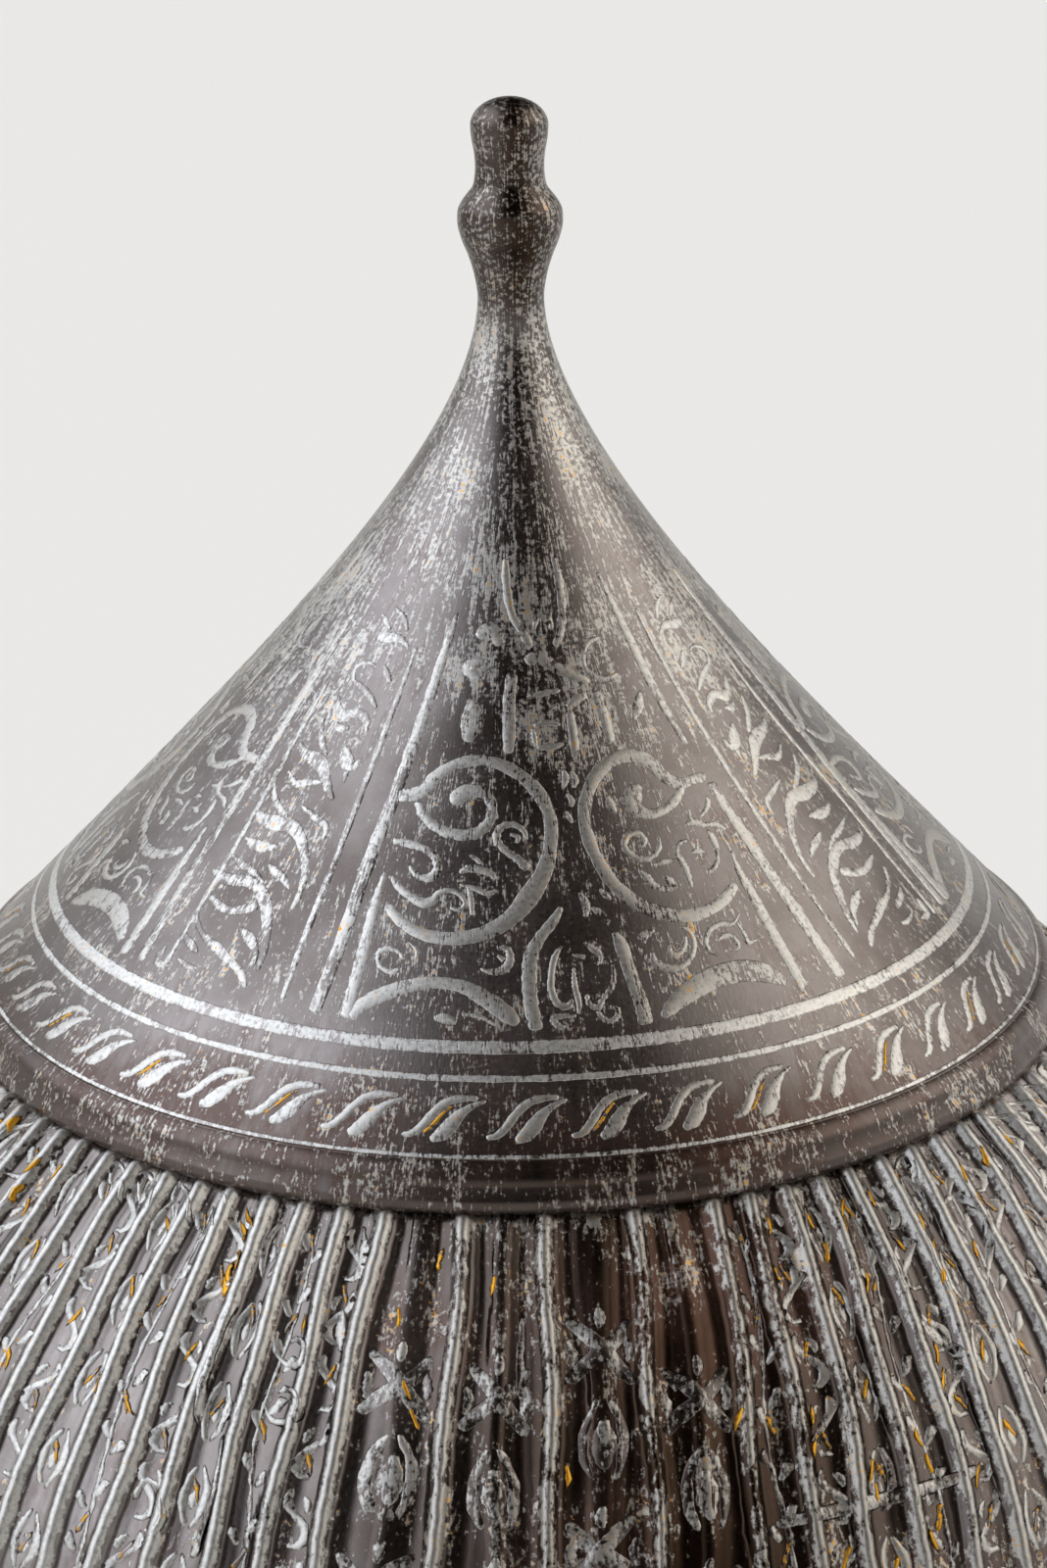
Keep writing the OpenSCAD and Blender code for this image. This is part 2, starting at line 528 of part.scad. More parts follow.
module left_cheek_plate() color(steel) on_cheek() difference() {
    union() {
        intersection() {
            translate([0, 0, cheek_bottom - 5]) cylinder(r = cheek_out, h = cheek_h + 10, $fn = 160);
            cheek_prism(0, 60, far);
        }
        ear_dome(boss_ball, boss_base);
    }
    translate([0, 0, cheek_bottom - 6]) cylinder(r = cheek_in, h = cheek_h + 12, $fn = 160);
    ear_dome(boss_ball - cheek_t, boss_base - cheek_t);
    ear_holes();
    for (p = concat(leaf_places, stud_places, [strap_place])) on_plate(p, cheek_in) rivet_hole(0, cheek_t);
}
module left_cheek_leaf() color(steel) on_cheek() difference() {
    union() {
        ring_part(cheek_out + seat_gap, cheek_out + seat_gap + leaf_t, cheek_top - leaf_h, hinge_z, mid_knuckle);
        intersection() {
            ring_part(cheek_out + seat_gap, cheek_out + seat_gap + leaf_t, cheek_top - leaf_h,
                cheek_top - 0.6, leaf_w);
            translate([60, 0, 0]) rotate([90, 0, 90]) linear_extrude(far) union() {
                translate([-leaf_w / 2, cheek_top - leaf_h + 5]) square([leaf_w, leaf_h]);
                for (s = [-1, 1]) translate([s * 5.5, cheek_top - leaf_h + 5.5]) circle(r = 5.5);
            }
        }
        hinge_axis(-mid_knuckle / 2, mid_knuckle / 2) circle(r = knuckle_r);
    }
    hinge_axis(-hinge_w, hinge_w) circle(r = pin_r + pin_gap);
    for (p = leaf_places) on_plate(p, cheek_out) rivet_hole(0, leaf_t);
}
module left_leaf_rivets() color(brass) on_cheek() for (p = leaf_places)
    on_plate(p, cheek_in) rivet(cheek_t + seat_gap + leaf_t, shank = 1.3, head = 2.3, tail = 1.8);
module left_cheek_studs() color(brass) on_cheek() {
    for (p = stud_places) on_plate(p, cheek_in) rivet(cheek_t, head = 2.4, tail = 1.8);
    inside = norm([strap_out - leather_t, chin_w]) - 0.2;
    on_plate(strap_place, inside) rivet(cheek_out - inside, head = 2.6, tail = 2.2);
}
pad_out = cheek_in - soft_gap;
pad_in = pad_out - cheek_pad;
module left_cheek_lining() color(quilt) on_cheek() difference() {
    intersection() {
        cheek_shell(pad_in, pad_out);
        cheek_prism(2, 60, far);
        translate([0, -far / 2, strap_z + strap_w / 2]) cube(far);
    }
    for (p = concat(leaf_places, stud_places)) on_plate(p, pad_out - 1) cylinder(r = 2.3, h = 4);
}

// Chin straps hang from the cheekpieces: a short one with the buckle, a long one with holes
strap_out = plate_u([abs(chin_w) + strap_w / 2, 0], pad_out) - 0.1;
strap_mid = strap_out - leather_t / 2;
loop_z = strap_z - buckle_drop;
bar_wire = 1.3;
module strap_body(bottom) translate([strap_out - leather_t, chin_w - strap_w / 2, bottom])
    cube([leather_t, strap_w, strap_z + strap_w / 2 - 0.4 - bottom]);
module strap_hole() on_plate(strap_place, cheek_in - 5) rivet_hole(0, 6);
module left_chin_strap() color(leather) on_cheek() difference() {
    union() {
        strap_body(loop_z);
        translate([strap_mid, chin_w - strap_w / 2, loop_z]) rotate([-90, 0, 0])
            cylinder(r = bar_wire + soft_gap + leather_t, h = strap_w);
    }
    translate([strap_mid, chin_w - strap_w, loop_z]) rotate([-90, 0, 0])
        cylinder(r = bar_wire + soft_gap, h = 2 * strap_w);
    translate([0, chin_w - 2.4, loop_z - 8]) cube([far, 4.8, 13]);
    strap_hole();
}
module right_chin_strap() mirrored() color(leather) on_cheek() difference() {
    union() {
        strap_body(strap_z - strap_len);
        translate([strap_out - leather_t, chin_w, strap_z - strap_len]) rotate([0, 90, 0])
            cylinder(r = strap_w / 2, h = leather_t);
    }
    for (i = [0 : 4]) translate([strap_out - 5, chin_w, strap_z - strap_len + 6 + 11 * i]) rotate([0, 90, 0])
        cylinder(r = 1.6, h = 10);
    strap_hole();
}
frame_w = strap_w + 8;
frame_h = 18;
module buckle_bar(z, w) translate([strap_mid, chin_w - w / 2, z]) rotate([-90, 0, 0])
    cylinder(r = bar_wire, h = w);
module buckle_frame() color(brass) on_cheek() {
    buckle_bar(loop_z, frame_w);
    buckle_bar(loop_z - frame_h, frame_w);
    for (s = [-1, 1]) translate([strap_mid, chin_w + s * frame_w / 2, loop_z - frame_h])
        cylinder(r = bar_wire, h = frame_h);
    for (s = [-1, 1], z = [0, frame_h]) translate([strap_mid, chin_w + s * frame_w / 2, loop_z - z])
        sphere(r = bar_wire);
}
tongue_r = 0.9;
tongue_u = strap_mid + bar_wire + tongue_r + 0.2;
module buckle_tongue() color(brass) on_cheek() difference() {
    union() {
        translate([strap_mid, chin_w - 1.5, loop_z]) rotate([-90, 0, 0]) cylinder(r = bar_wire + 1.2, h = 3);
        translate([tongue_u, chin_w, loop_z - frame_h - 2.4]) cylinder(r = tongue_r, h = frame_h + 2.4);
        translate([tongue_u, chin_w, loop_z - frame_h - 2.4]) sphere(r = tongue_r);
    }
    translate([strap_mid, chin_w - 5, loop_z]) rotate([-90, 0, 0])
        cylinder(r = bar_wire + pin_gap, h = 10);
}
module right_cheek_plate() mirrored() left_cheek_plate();
module right_cheek_leaf() mirrored() left_cheek_leaf();
module right_leaf_rivets() mirrored() left_leaf_rivets();
module right_cheek_studs() mirrored() left_cheek_studs();
module right_cheek_lining() mirrored() left_cheek_lining();

// Neck guard: five lames, each lapping outside the one above, and pivoting on it at the sides
lames = 5;
lame_top_z = 12;
lame_step = lame_t + slide_gap;
first_pivot_z = -7;
function pivot_z(k) = first_pivot_z - (k - 1) * lame_pitch;
function fan(k) = k < 1 ? 0 : min(k, lames - 1) * lame_fan + (k >= lames ? lame_fan : 0);
// Height of the seam below lame k, at a distance y behind the middle
function seam_z(k, y) = (k < 1 ? lame_top_z - lame_lap / 2 : k < lames ? pivot_z(k)
    : pivot_z(lames - 1) - last_lame_h + lame_lap / 2) - (y - pivot_y) * tan(fan(k));
function lame_in(i, z) = brow_r + seat_gap + (i - 1) * lame_step + lame_flare * max(0, -z);
tail_z = seam_z(lames, brow_r + 25) - lame_lap;

module lame_shell(i, extra) rotate_extrude($fn = 160) polygon([[lame_in(i, 0), lame_top_z + 1],
    [lame_in(i, 0) + lame_t + extra, lame_top_z + 1], [lame_in(i, 0) + lame_t + extra, 0],
    [lame_in(i, tail_z) + lame_t + extra, tail_z], [lame_in(i, tail_z), tail_z], [lame_in(i, 0), 0]]);
module side_cut() translate([-far, 0, 0]) rotate([90, 0, 90]) linear_extrude(2 * far) children();
// Side view of lame i: round ends at its pivots, and edges that drop towards the back
lap_r = lame_lap / 2;
function lame_head(i) = i == 1 ? lame_top_z - lap_r : pivot_z(i - 1);
module lame_side(i) {
    back = brow_r + 60;
    polygon(concat(arc([pivot_y, lame_head(i)], lap_r, 90, 180, 8),
        arc([pivot_y, seam_z(i, pivot_y)], lap_r, 180, 270, 8),
        [[back, seam_z(i, back) - lap_r], [back, seam_z(i - 1, back) + lap_r]]));
}
// Turned rim along the lowest edge of the guard
rim_h = 3;
module tail_rim() {
    back = brow_r + 60;
    foot = seam_z(lames, pivot_y) - lap_r;
    polygon([[pivot_y, foot + rim_h], [back, seam_z(lames, back) - lap_r + rim_h],
        [back, seam_z(lames, back) - lap_r], [pivot_y, foot]]);
}
// A point at the middle of each lame's upper edge
cusp_w = 13;
cusp_h = 4;
module cusp(i) translate([0, far, 0]) rotate([90, 0, 0]) linear_extrude(far - 40) polygon(concat(
    [[-cusp_w, seam_z(i - 1, brow_r) - 2]],
    [for (j = [-6 : 6]) [cusp_w * j / 6, seam_z(i - 1, brow_r + 2) + lame_lap / 2 - 0.2
        + cusp_h * pow(1 - abs(j) / 6, 2)]],
    [[cusp_w, seam_z(i - 1, brow_r) - 2]]));
pivot_r = 1.6;
function side_x(r) = sqrt(r * r - pivot_y * pivot_y);

module lame(i) color(steel) difference() {
    union() {
        intersection() {
            lame_shell(i, 0);
            union() {
                side_cut() lame_side(i);
                if (i > 1) cusp(i);
            }
        }
        if (i == lames) intersection() { lame_shell(i, 0.9); side_cut() tail_rim(); }
    }
    if (i > 1) pivot_hole(i - 1);
    if (i < lames) pivot_hole(i);
    if (i == 1) for (a = top_lame_angles) radial(a, rivet_z) rivet_hole(brow_r, top_lame_r);
    plug_holes(i);
}
module pivot_hole(k) translate([-far, pivot_y, pivot_z(k)]) rotate([0, 90, 0])
    cylinder(r = pivot_r + pin_gap, h = 2 * far, $fn = 48);
module lame_pivots(k) color(brass) both_sides() {
    inner = side_x(lame_in(k, pivot_z(k) + 2)) - 1;
    outer = side_x(lame_in(k + 1, pivot_z(k) - 3) + lame_t) + 0.5;
    translate([inner, pivot_y, pivot_z(k)]) rotate([0, 90, 0])
        rivet(outer - inner, shank = pivot_r, head = 2.8, dome = 1.6, tail = 2.4);
}
module top_lame_rivets() color(brass) band_rivets(top_lame_angles, rivet_z, top_lame_r);

// Leathers hang inside the lames, one piece for each lame: each slides over the next as the guard lifts
strip_t = 1.2;
strip_w = 15;
strip_angles = [180 - 44, 180, 180 + 44];
strip_room = 0.9;
strip_grip = (lame_pitch + (brow_r - pivot_y) * (tan(lame_fan) - sin(lame_lift)) - strip_room) / 2;
last_plug_h = 7;
function strip_y(i, a) = -lame_in(i, seam_z(i, brow_r)) * cos(a);
function strip_rivet_z(i, a) = seam_z(i, strip_y(i, a)) - lame_lap / 2 + (i == lames ? last_plug_h : strip_grip);
function strip_top(i, a) = strip_rivet_z(i, a) + strip_grip;
plug_r = 1.8;
plug_sink = 0.25;
strip_gap = seat_gap + 0.3;
module leather_rivets(i) color(brass) for (a = strip_angles) {
    z = strip_rivet_z(i, a);
    length = lame_t - plug_sink + strip_gap + strip_t + 0.5;
    radial(a, z) translate([0, 0, lame_in(i, z) + lame_t - plug_sink - length]) cylinder(r = plug_r, h = length);
}
module plug_holes(i) for (a = strip_angles) radial(a, strip_rivet_z(i, a)) translate([0, 0, brow_r - 10])
    cylinder(r = plug_r + hole_gap, h = 60);
module neck_leather(i) color(leather) difference() {
    for (a = strip_angles) {
        top = strip_top(i, a);
        edge = seam_z(i, strip_y(i, a)) - lame_lap / 2;
        low = i == lames ? strip_rivet_z(i, a) - strip_grip : strip_top(i + 1, a) - 2;
        face = [for (z = i == lames ? [top, low] : [top, edge, low]) [lame_in(i, z) - strip_gap, z]];
        at_angle(a) translate([0, strip_w / 2, 0]) rotate([90, 0, 0]) linear_extrude(strip_w)
            polygon(concat(face, [for (p = reversed(face)) p - [strip_t, 0]]));
    }
    plug_holes(i);
}

skull();
peak();
peak_rivets();
nasal_bracket();
bracket_rivets();
nasal_bar();
wing_screw();
plume_holder();
plume_rivets();
lining_band();
lining_cap();
brow_rivets();
left_hinge_leaf();
left_hinge_pin();
left_hinge_rivets();
right_hinge_leaf();
right_hinge_pin();
right_hinge_rivets();
left_cheek_plate();
left_cheek_leaf();
left_leaf_rivets();
left_cheek_studs();
left_cheek_lining();
left_chin_strap();
right_cheek_plate();
right_cheek_leaf();
right_leaf_rivets();
right_cheek_studs();
right_cheek_lining();
right_chin_strap();
buckle_frame();
buckle_tongue();
lame(1);  // neck_lame_1
lame(2);  // neck_lame_2
lame(3);  // neck_lame_3
lame(4);  // neck_lame_4
lame(5);  // neck_lame_5
lame_pivots(1);  // lame_pivots_1
lame_pivots(2);  // lame_pivots_2
lame_pivots(3);  // lame_pivots_3
lame_pivots(4);  // lame_pivots_4
top_lame_rivets();
neck_leather(1);  // neck_leather_1
neck_leather(2);  // neck_leather_2
neck_leather(3);  // neck_leather_3
neck_leather(4);  // neck_leather_4
neck_leather(5);  // neck_leather_5
leather_rivets(1);  // leather_rivets_1
leather_rivets(2);  // leather_rivets_2
leather_rivets(3);  // leather_rivets_3
leather_rivets(4);  // leather_rivets_4
leather_rivets(5);  // leather_rivets_5
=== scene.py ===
# %% [markdown]
# # A lobster-tail helmet
# The helmet is a fluted iron skull with a tall cone, overlaid with silver and gold foliage, and a guard of
# five lames behind the neck. CAD made every rigid piece in its real size. Here the skull gets its ribs and
# its overlay, the soft pieces get their padding, and every piece gets its finish. All sizes below are in
# millimetres, and the meshes are scaled to metres as they are made.

# %% Load the frame that CAD made
import math
import bmesh
import bpy
import numpy as np
from mathutils import Matrix, Vector


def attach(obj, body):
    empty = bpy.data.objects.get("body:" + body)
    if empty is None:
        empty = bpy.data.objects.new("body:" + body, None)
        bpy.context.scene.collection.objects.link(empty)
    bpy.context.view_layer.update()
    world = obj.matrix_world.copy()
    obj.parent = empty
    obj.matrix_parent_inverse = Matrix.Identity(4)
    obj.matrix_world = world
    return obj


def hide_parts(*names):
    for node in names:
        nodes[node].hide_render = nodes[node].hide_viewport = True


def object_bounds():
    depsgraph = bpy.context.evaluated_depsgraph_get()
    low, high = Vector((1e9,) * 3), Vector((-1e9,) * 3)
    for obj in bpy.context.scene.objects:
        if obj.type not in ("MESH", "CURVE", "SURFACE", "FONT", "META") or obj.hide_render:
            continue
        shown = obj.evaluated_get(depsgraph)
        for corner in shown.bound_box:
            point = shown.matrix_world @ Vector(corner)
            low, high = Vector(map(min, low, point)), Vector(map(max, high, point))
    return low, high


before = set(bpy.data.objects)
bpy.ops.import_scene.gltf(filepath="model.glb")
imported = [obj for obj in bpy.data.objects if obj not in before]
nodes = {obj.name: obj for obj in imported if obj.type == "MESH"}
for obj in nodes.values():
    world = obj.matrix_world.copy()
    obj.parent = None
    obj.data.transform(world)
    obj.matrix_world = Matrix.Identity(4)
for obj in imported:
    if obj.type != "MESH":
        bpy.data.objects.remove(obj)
cad_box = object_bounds()
MM = 0.001
print("CAD nodes:", len(nodes), "box in mm:", [[round(v * 1000, 1) for v in corner] for corner in cad_box])

# %% [markdown]
# The camera stands 0.4 m away and looks down on the skull's cone at 22 degrees, a little to the wearer's
# right of the face. Its distance, height and lens were found from the rings round the cone: an ellipse grows
# rounder as a camera rises and flatter as it sinks. The focal length is given in pixels of the picture, and
# the lens follows from it and the sensor's width, which lies along the longer side of the picture.

# %% Camera
PICTURE_H = 1600            # height of the picture in pixels
FOCAL_PX = 3173.4
SENSOR_MM = 36.0
CAMERA_AIM_Z = 84.0
CAMERA_DISTANCE = 406.9
CAMERA_ELEVATION = math.radians(21.92)
CAMERA_AZIMUTH = math.radians(-8.0)
CAMERA_PITCH, CAMERA_YAW, CAMERA_ROLL = (math.radians(v) for v in (2.663, -0.247, -0.579))


def camera_matrix():
    """The camera's matrix: it looks at a point on the helmet's axis, is tipped, turned and rolled by small
    angles about its own axes, and is swung round the helmet's axis at the end."""
    back = Vector((0, -math.cos(CAMERA_ELEVATION), math.sin(CAMERA_ELEVATION)))
    place = Vector((0, 0, CAMERA_AIM_Z)) + CAMERA_DISTANCE * back
    axes = [Vector((1, 0, 0)), back.cross(Vector((1, 0, 0))), back]
    for angle, axis in ((CAMERA_PITCH, 0), (CAMERA_YAW, 1), (CAMERA_ROLL, 2)):
        turn = Matrix.Rotation(angle, 3, axes[axis])
        axes = [turn @ a for a in axes]
    around = Matrix.Rotation(CAMERA_AZIMUTH, 3, "Z")
    matrix = Matrix([around @ a for a in axes]).transposed().to_4x4()
    matrix.translation = around @ place * MM
    return matrix


camera = bpy.data.objects.new("camera", bpy.data.cameras.new("camera"))
bpy.context.scene.collection.objects.link(camera)
camera.matrix_world = camera_matrix()
camera.data.sensor_width = SENSOR_MM
camera.data.lens = FOCAL_PX * SENSOR_MM / PICTURE_H
camera.data.clip_start = 0.01
bpy.context.scene.camera = camera
print("lens", round(camera.data.lens, 1), "mm")

# %% [markdown]
# Every material is a small network of nodes. Three helpers build them: one turns the hex value of a colour
# into the linear numbers that the shader works with, one adds a node with its settings and links, and one
# starts a new material.

# %% Helpers for materials


def linear(hex_value, alpha=1.0):
    """A colour given as sRGB hex, in the linear values of the shader."""
    c = [int(hex_value[i:i + 2], 16) / 255 for i in (1, 3, 5)]
    return tuple(v / 12.92 if v <= 0.04045 else ((v + 0.055) / 1.055) ** 2.4 for v in c) + (alpha,)


def add(tree, kind, sockets=None, out=0, stops=(), **settings):
    """Adds a node and returns the output that out names. settings are the node's own, sockets gives each
    input a value, a hex colour or the output that feeds it, and stops are the places and colours of a
    colour ramp."""
    node = tree.nodes.new("ShaderNode" + kind)
    for name, value in settings.items():
        setattr(node, name, value)
    for name, value in (sockets or {}).items():
        if isinstance(value, bpy.types.NodeSocket):
            tree.links.new(value, node.inputs[name])
        else:
            node.inputs[name].default_value = linear(value) if isinstance(value, str) else value
    while stops and len(node.color_ramp.elements) < len(stops):
        node.color_ramp.elements.new(0.5)
    for number, (place, colour) in enumerate(stops):
        node.color_ramp.elements[number].position = place
        node.color_ramp.elements[number].color = linear(colour)
    return node.outputs[out]


def new_material(name):
    """A new material, its network of nodes and the Principled shader in it."""
    material = bpy.data.materials.new(name)
    material.use_nodes = True
    tree = material.node_tree
    return material, tree, tree.nodes["Principled BSDF"]

# %% [markdown]
# The pieces made here are surfaces. A grid of points is worked out as one array, and one helper turns it
# into a mesh: four neighbours in the grid are the corners of a face. Many small patches of the same size,
# such as the strokes of an ornament, go into one mesh.

# %% Helper for meshes


def skin(name, grid, body, material, around=False, along=False, uv=None, values=None, weld=0.0, turn=0.0):
    """Quads between the neighbours of a grid [patch, row, column, xyz] in mm, closed round its columns or
    rows if asked. uv and values give each point a pair and a number, turn is the width of one whole turn in
    the UV map, and points nearer to each other than weld, in mm, are merged."""
    grid = np.asarray(grid, float)
    if grid.ndim == 3:
        grid = grid[None]
    patches, n, m, _ = grid.shape
    rows, cols = np.meshgrid(np.arange(n if along else n - 1), np.arange(m if around else m - 1),
                             indexing="ij")
    corner = [(rows, cols), (rows, cols + 1), (rows + 1, cols + 1), (rows + 1, cols)]
    quads = np.stack([(r % n) * m + c % m for r, c in corner], -1).reshape(-1, 4)
    faces = (quads[None] + (np.arange(patches) * n * m)[:, None, None]).reshape(-1, 4)
    mesh = bpy.data.meshes.new(name)
    mesh.vertices.add(patches * n * m)
    mesh.vertices.foreach_set("co", (grid * MM).astype(np.float32).ravel())
    mesh.loops.add(faces.size)
    mesh.loops.foreach_set("vertex_index", faces.astype(np.int32).ravel())
    mesh.polygons.add(len(faces))
    mesh.polygons.foreach_set("loop_start", np.arange(0, faces.size, 4, dtype=np.int32))
    mesh.update(calc_edges=True)
    if uv is not None:
        uv = np.broadcast_to(np.asarray(uv, float), grid.shape[:3] + (2,)).reshape(-1, 2)[faces]
        # A quad that crosses the seam takes the far corner one turn on, so that nothing is squeezed into it
        if around and turn:
            wrap = (np.ptp(uv[..., 0], axis=1) > turn / 2)[:, None] & (uv[..., 0] < turn / 2)
            uv[..., 0] = np.where(wrap, uv[..., 0] + turn, uv[..., 0])
        layer = mesh.uv_layers.new(name="UVMap")
        layer.data.foreach_set("uv", uv.astype(np.float32).ravel())
    for key, value in (values or {}).items():
        attribute = mesh.attributes.new(key, "FLOAT", "POINT")
        full = np.broadcast_to(np.asarray(value, float), grid.shape[:3])
        attribute.data.foreach_set("value", full.astype(np.float32).ravel())
    if weld:
        work = bmesh.new()
        work.from_mesh(mesh)
        bmesh.ops.remove_doubles(work, verts=work.verts, dist=weld * MM)
        bmesh.ops.recalc_face_normals(work, faces=work.faces)
        work.to_mesh(mesh)
        work.free()
    mesh.polygons.foreach_set("use_smooth", np.ones(len(mesh.polygons), bool))
    mesh.materials.append(material)
    piece = bpy.data.objects.new(name, mesh)
    bpy.context.scene.collection.objects.link(piece)
    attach(piece, body)
    return piece


def uv_pairs(across, up):
    """UV pairs for a grid, from a distance for each column and a distance for each row."""
    return np.stack(np.broadcast_arrays(np.asarray(across)[None, :], np.asarray(up)[:, None]), -1)


def turned(profile, count):
    """A profile of (radius, height) points turned round the axis, with angles counted from the face side."""
    a = np.arange(count) * 2 * np.pi / count
    r, z = np.asarray(profile, float).T
    return np.stack([r[:, None] * np.sin(a), -r[:, None] * np.cos(a), np.repeat(z[:, None], count, 1)], -1)


def bezier(points, t):
    """The cubic curve from the first point to the last, pulled towards the two in between: each point counts
    with the product of three shares, t for the way gone and 1 - t for the way left."""
    p = np.asarray(points, float)
    t = np.asarray(t, float)[..., None]
    return (1 - t) ** 3 * p[0] + 3 * t * (1 - t) ** 2 * p[1] + 3 * t * t * (1 - t) * p[2] + t ** 3 * p[3]


def distances(points):
    """The way along a line of points from the first to each of them, as the sum of the chords."""
    return np.concatenate([[0], np.cumsum(np.linalg.norm(np.diff(points, axis=0), axis=1))])


def step(x):
    """0 below 0, 1 above 1, and a smooth rise between: three times the square less twice the cube."""
    x = np.clip(x, 0, 1)
    return x * x * (3 - 2 * x)


def round_over(x):
    """A quarter of a circle: 0 at 0, steep at first, and 1 from 1 on."""
    return np.sqrt(np.clip(1 - (1 - np.clip(x, 0, 1)) ** 2, 0, 1))

# %% [markdown]
# ## Finishes
# The skull is forged iron, darkened to brown, that was scratched with fine hatching so that hammered silver
# foil would grip it. Handling has rubbed the foil into streaks that run with the hatching. So one material
# holds both metals: an attribute called silver says how much foil is left at a place, and fine noise, drawn
# out along the hatching, decides where it shows. A second attribute does the same for gold.

# %% Damascened iron
HATCH_MM = 0.3              # spacing of the hatching: the real one is finer, too fine to show from here
HATCH_LENGTH = 5.0          # how much longer than wide a rubbed streak is
SPECK_MM = 0.55             # size of the spots that the foil wears into
CLOUD_MM = 9.0              # size of the areas that a hand has rubbed more or less
PATCHES_PER_M = 42.0        # brown scale lies in patches of 24 mm
WIPES_PER_MM = 0.22         # the bands that were wiped down the upper cone are 4.5 mm wide
RUBS_PER_MM = 0.5           # and the strokes of the cloth are 2 mm wide
FOIL_EDGE, GILT_EDGE, RUST_EDGE = 0.05, 0.03, 0.12      # how soft each finish fades out at its edge


def threshold(tree, noise, level, width):
    """1 where the noise passes a limit that falls as the level rises from 0 to 1, with a narrow soft edge."""
    limit = add(tree, "Math", {0: level, 1: -0.42, 2: 0.71}, operation="MULTIPLY_ADD")
    over = add(tree, "Math", {0: noise, 1: limit}, operation="SUBTRACT")
    return add(tree, "MapRange", {"Value": over, "From Min": -width, "From Max": width})


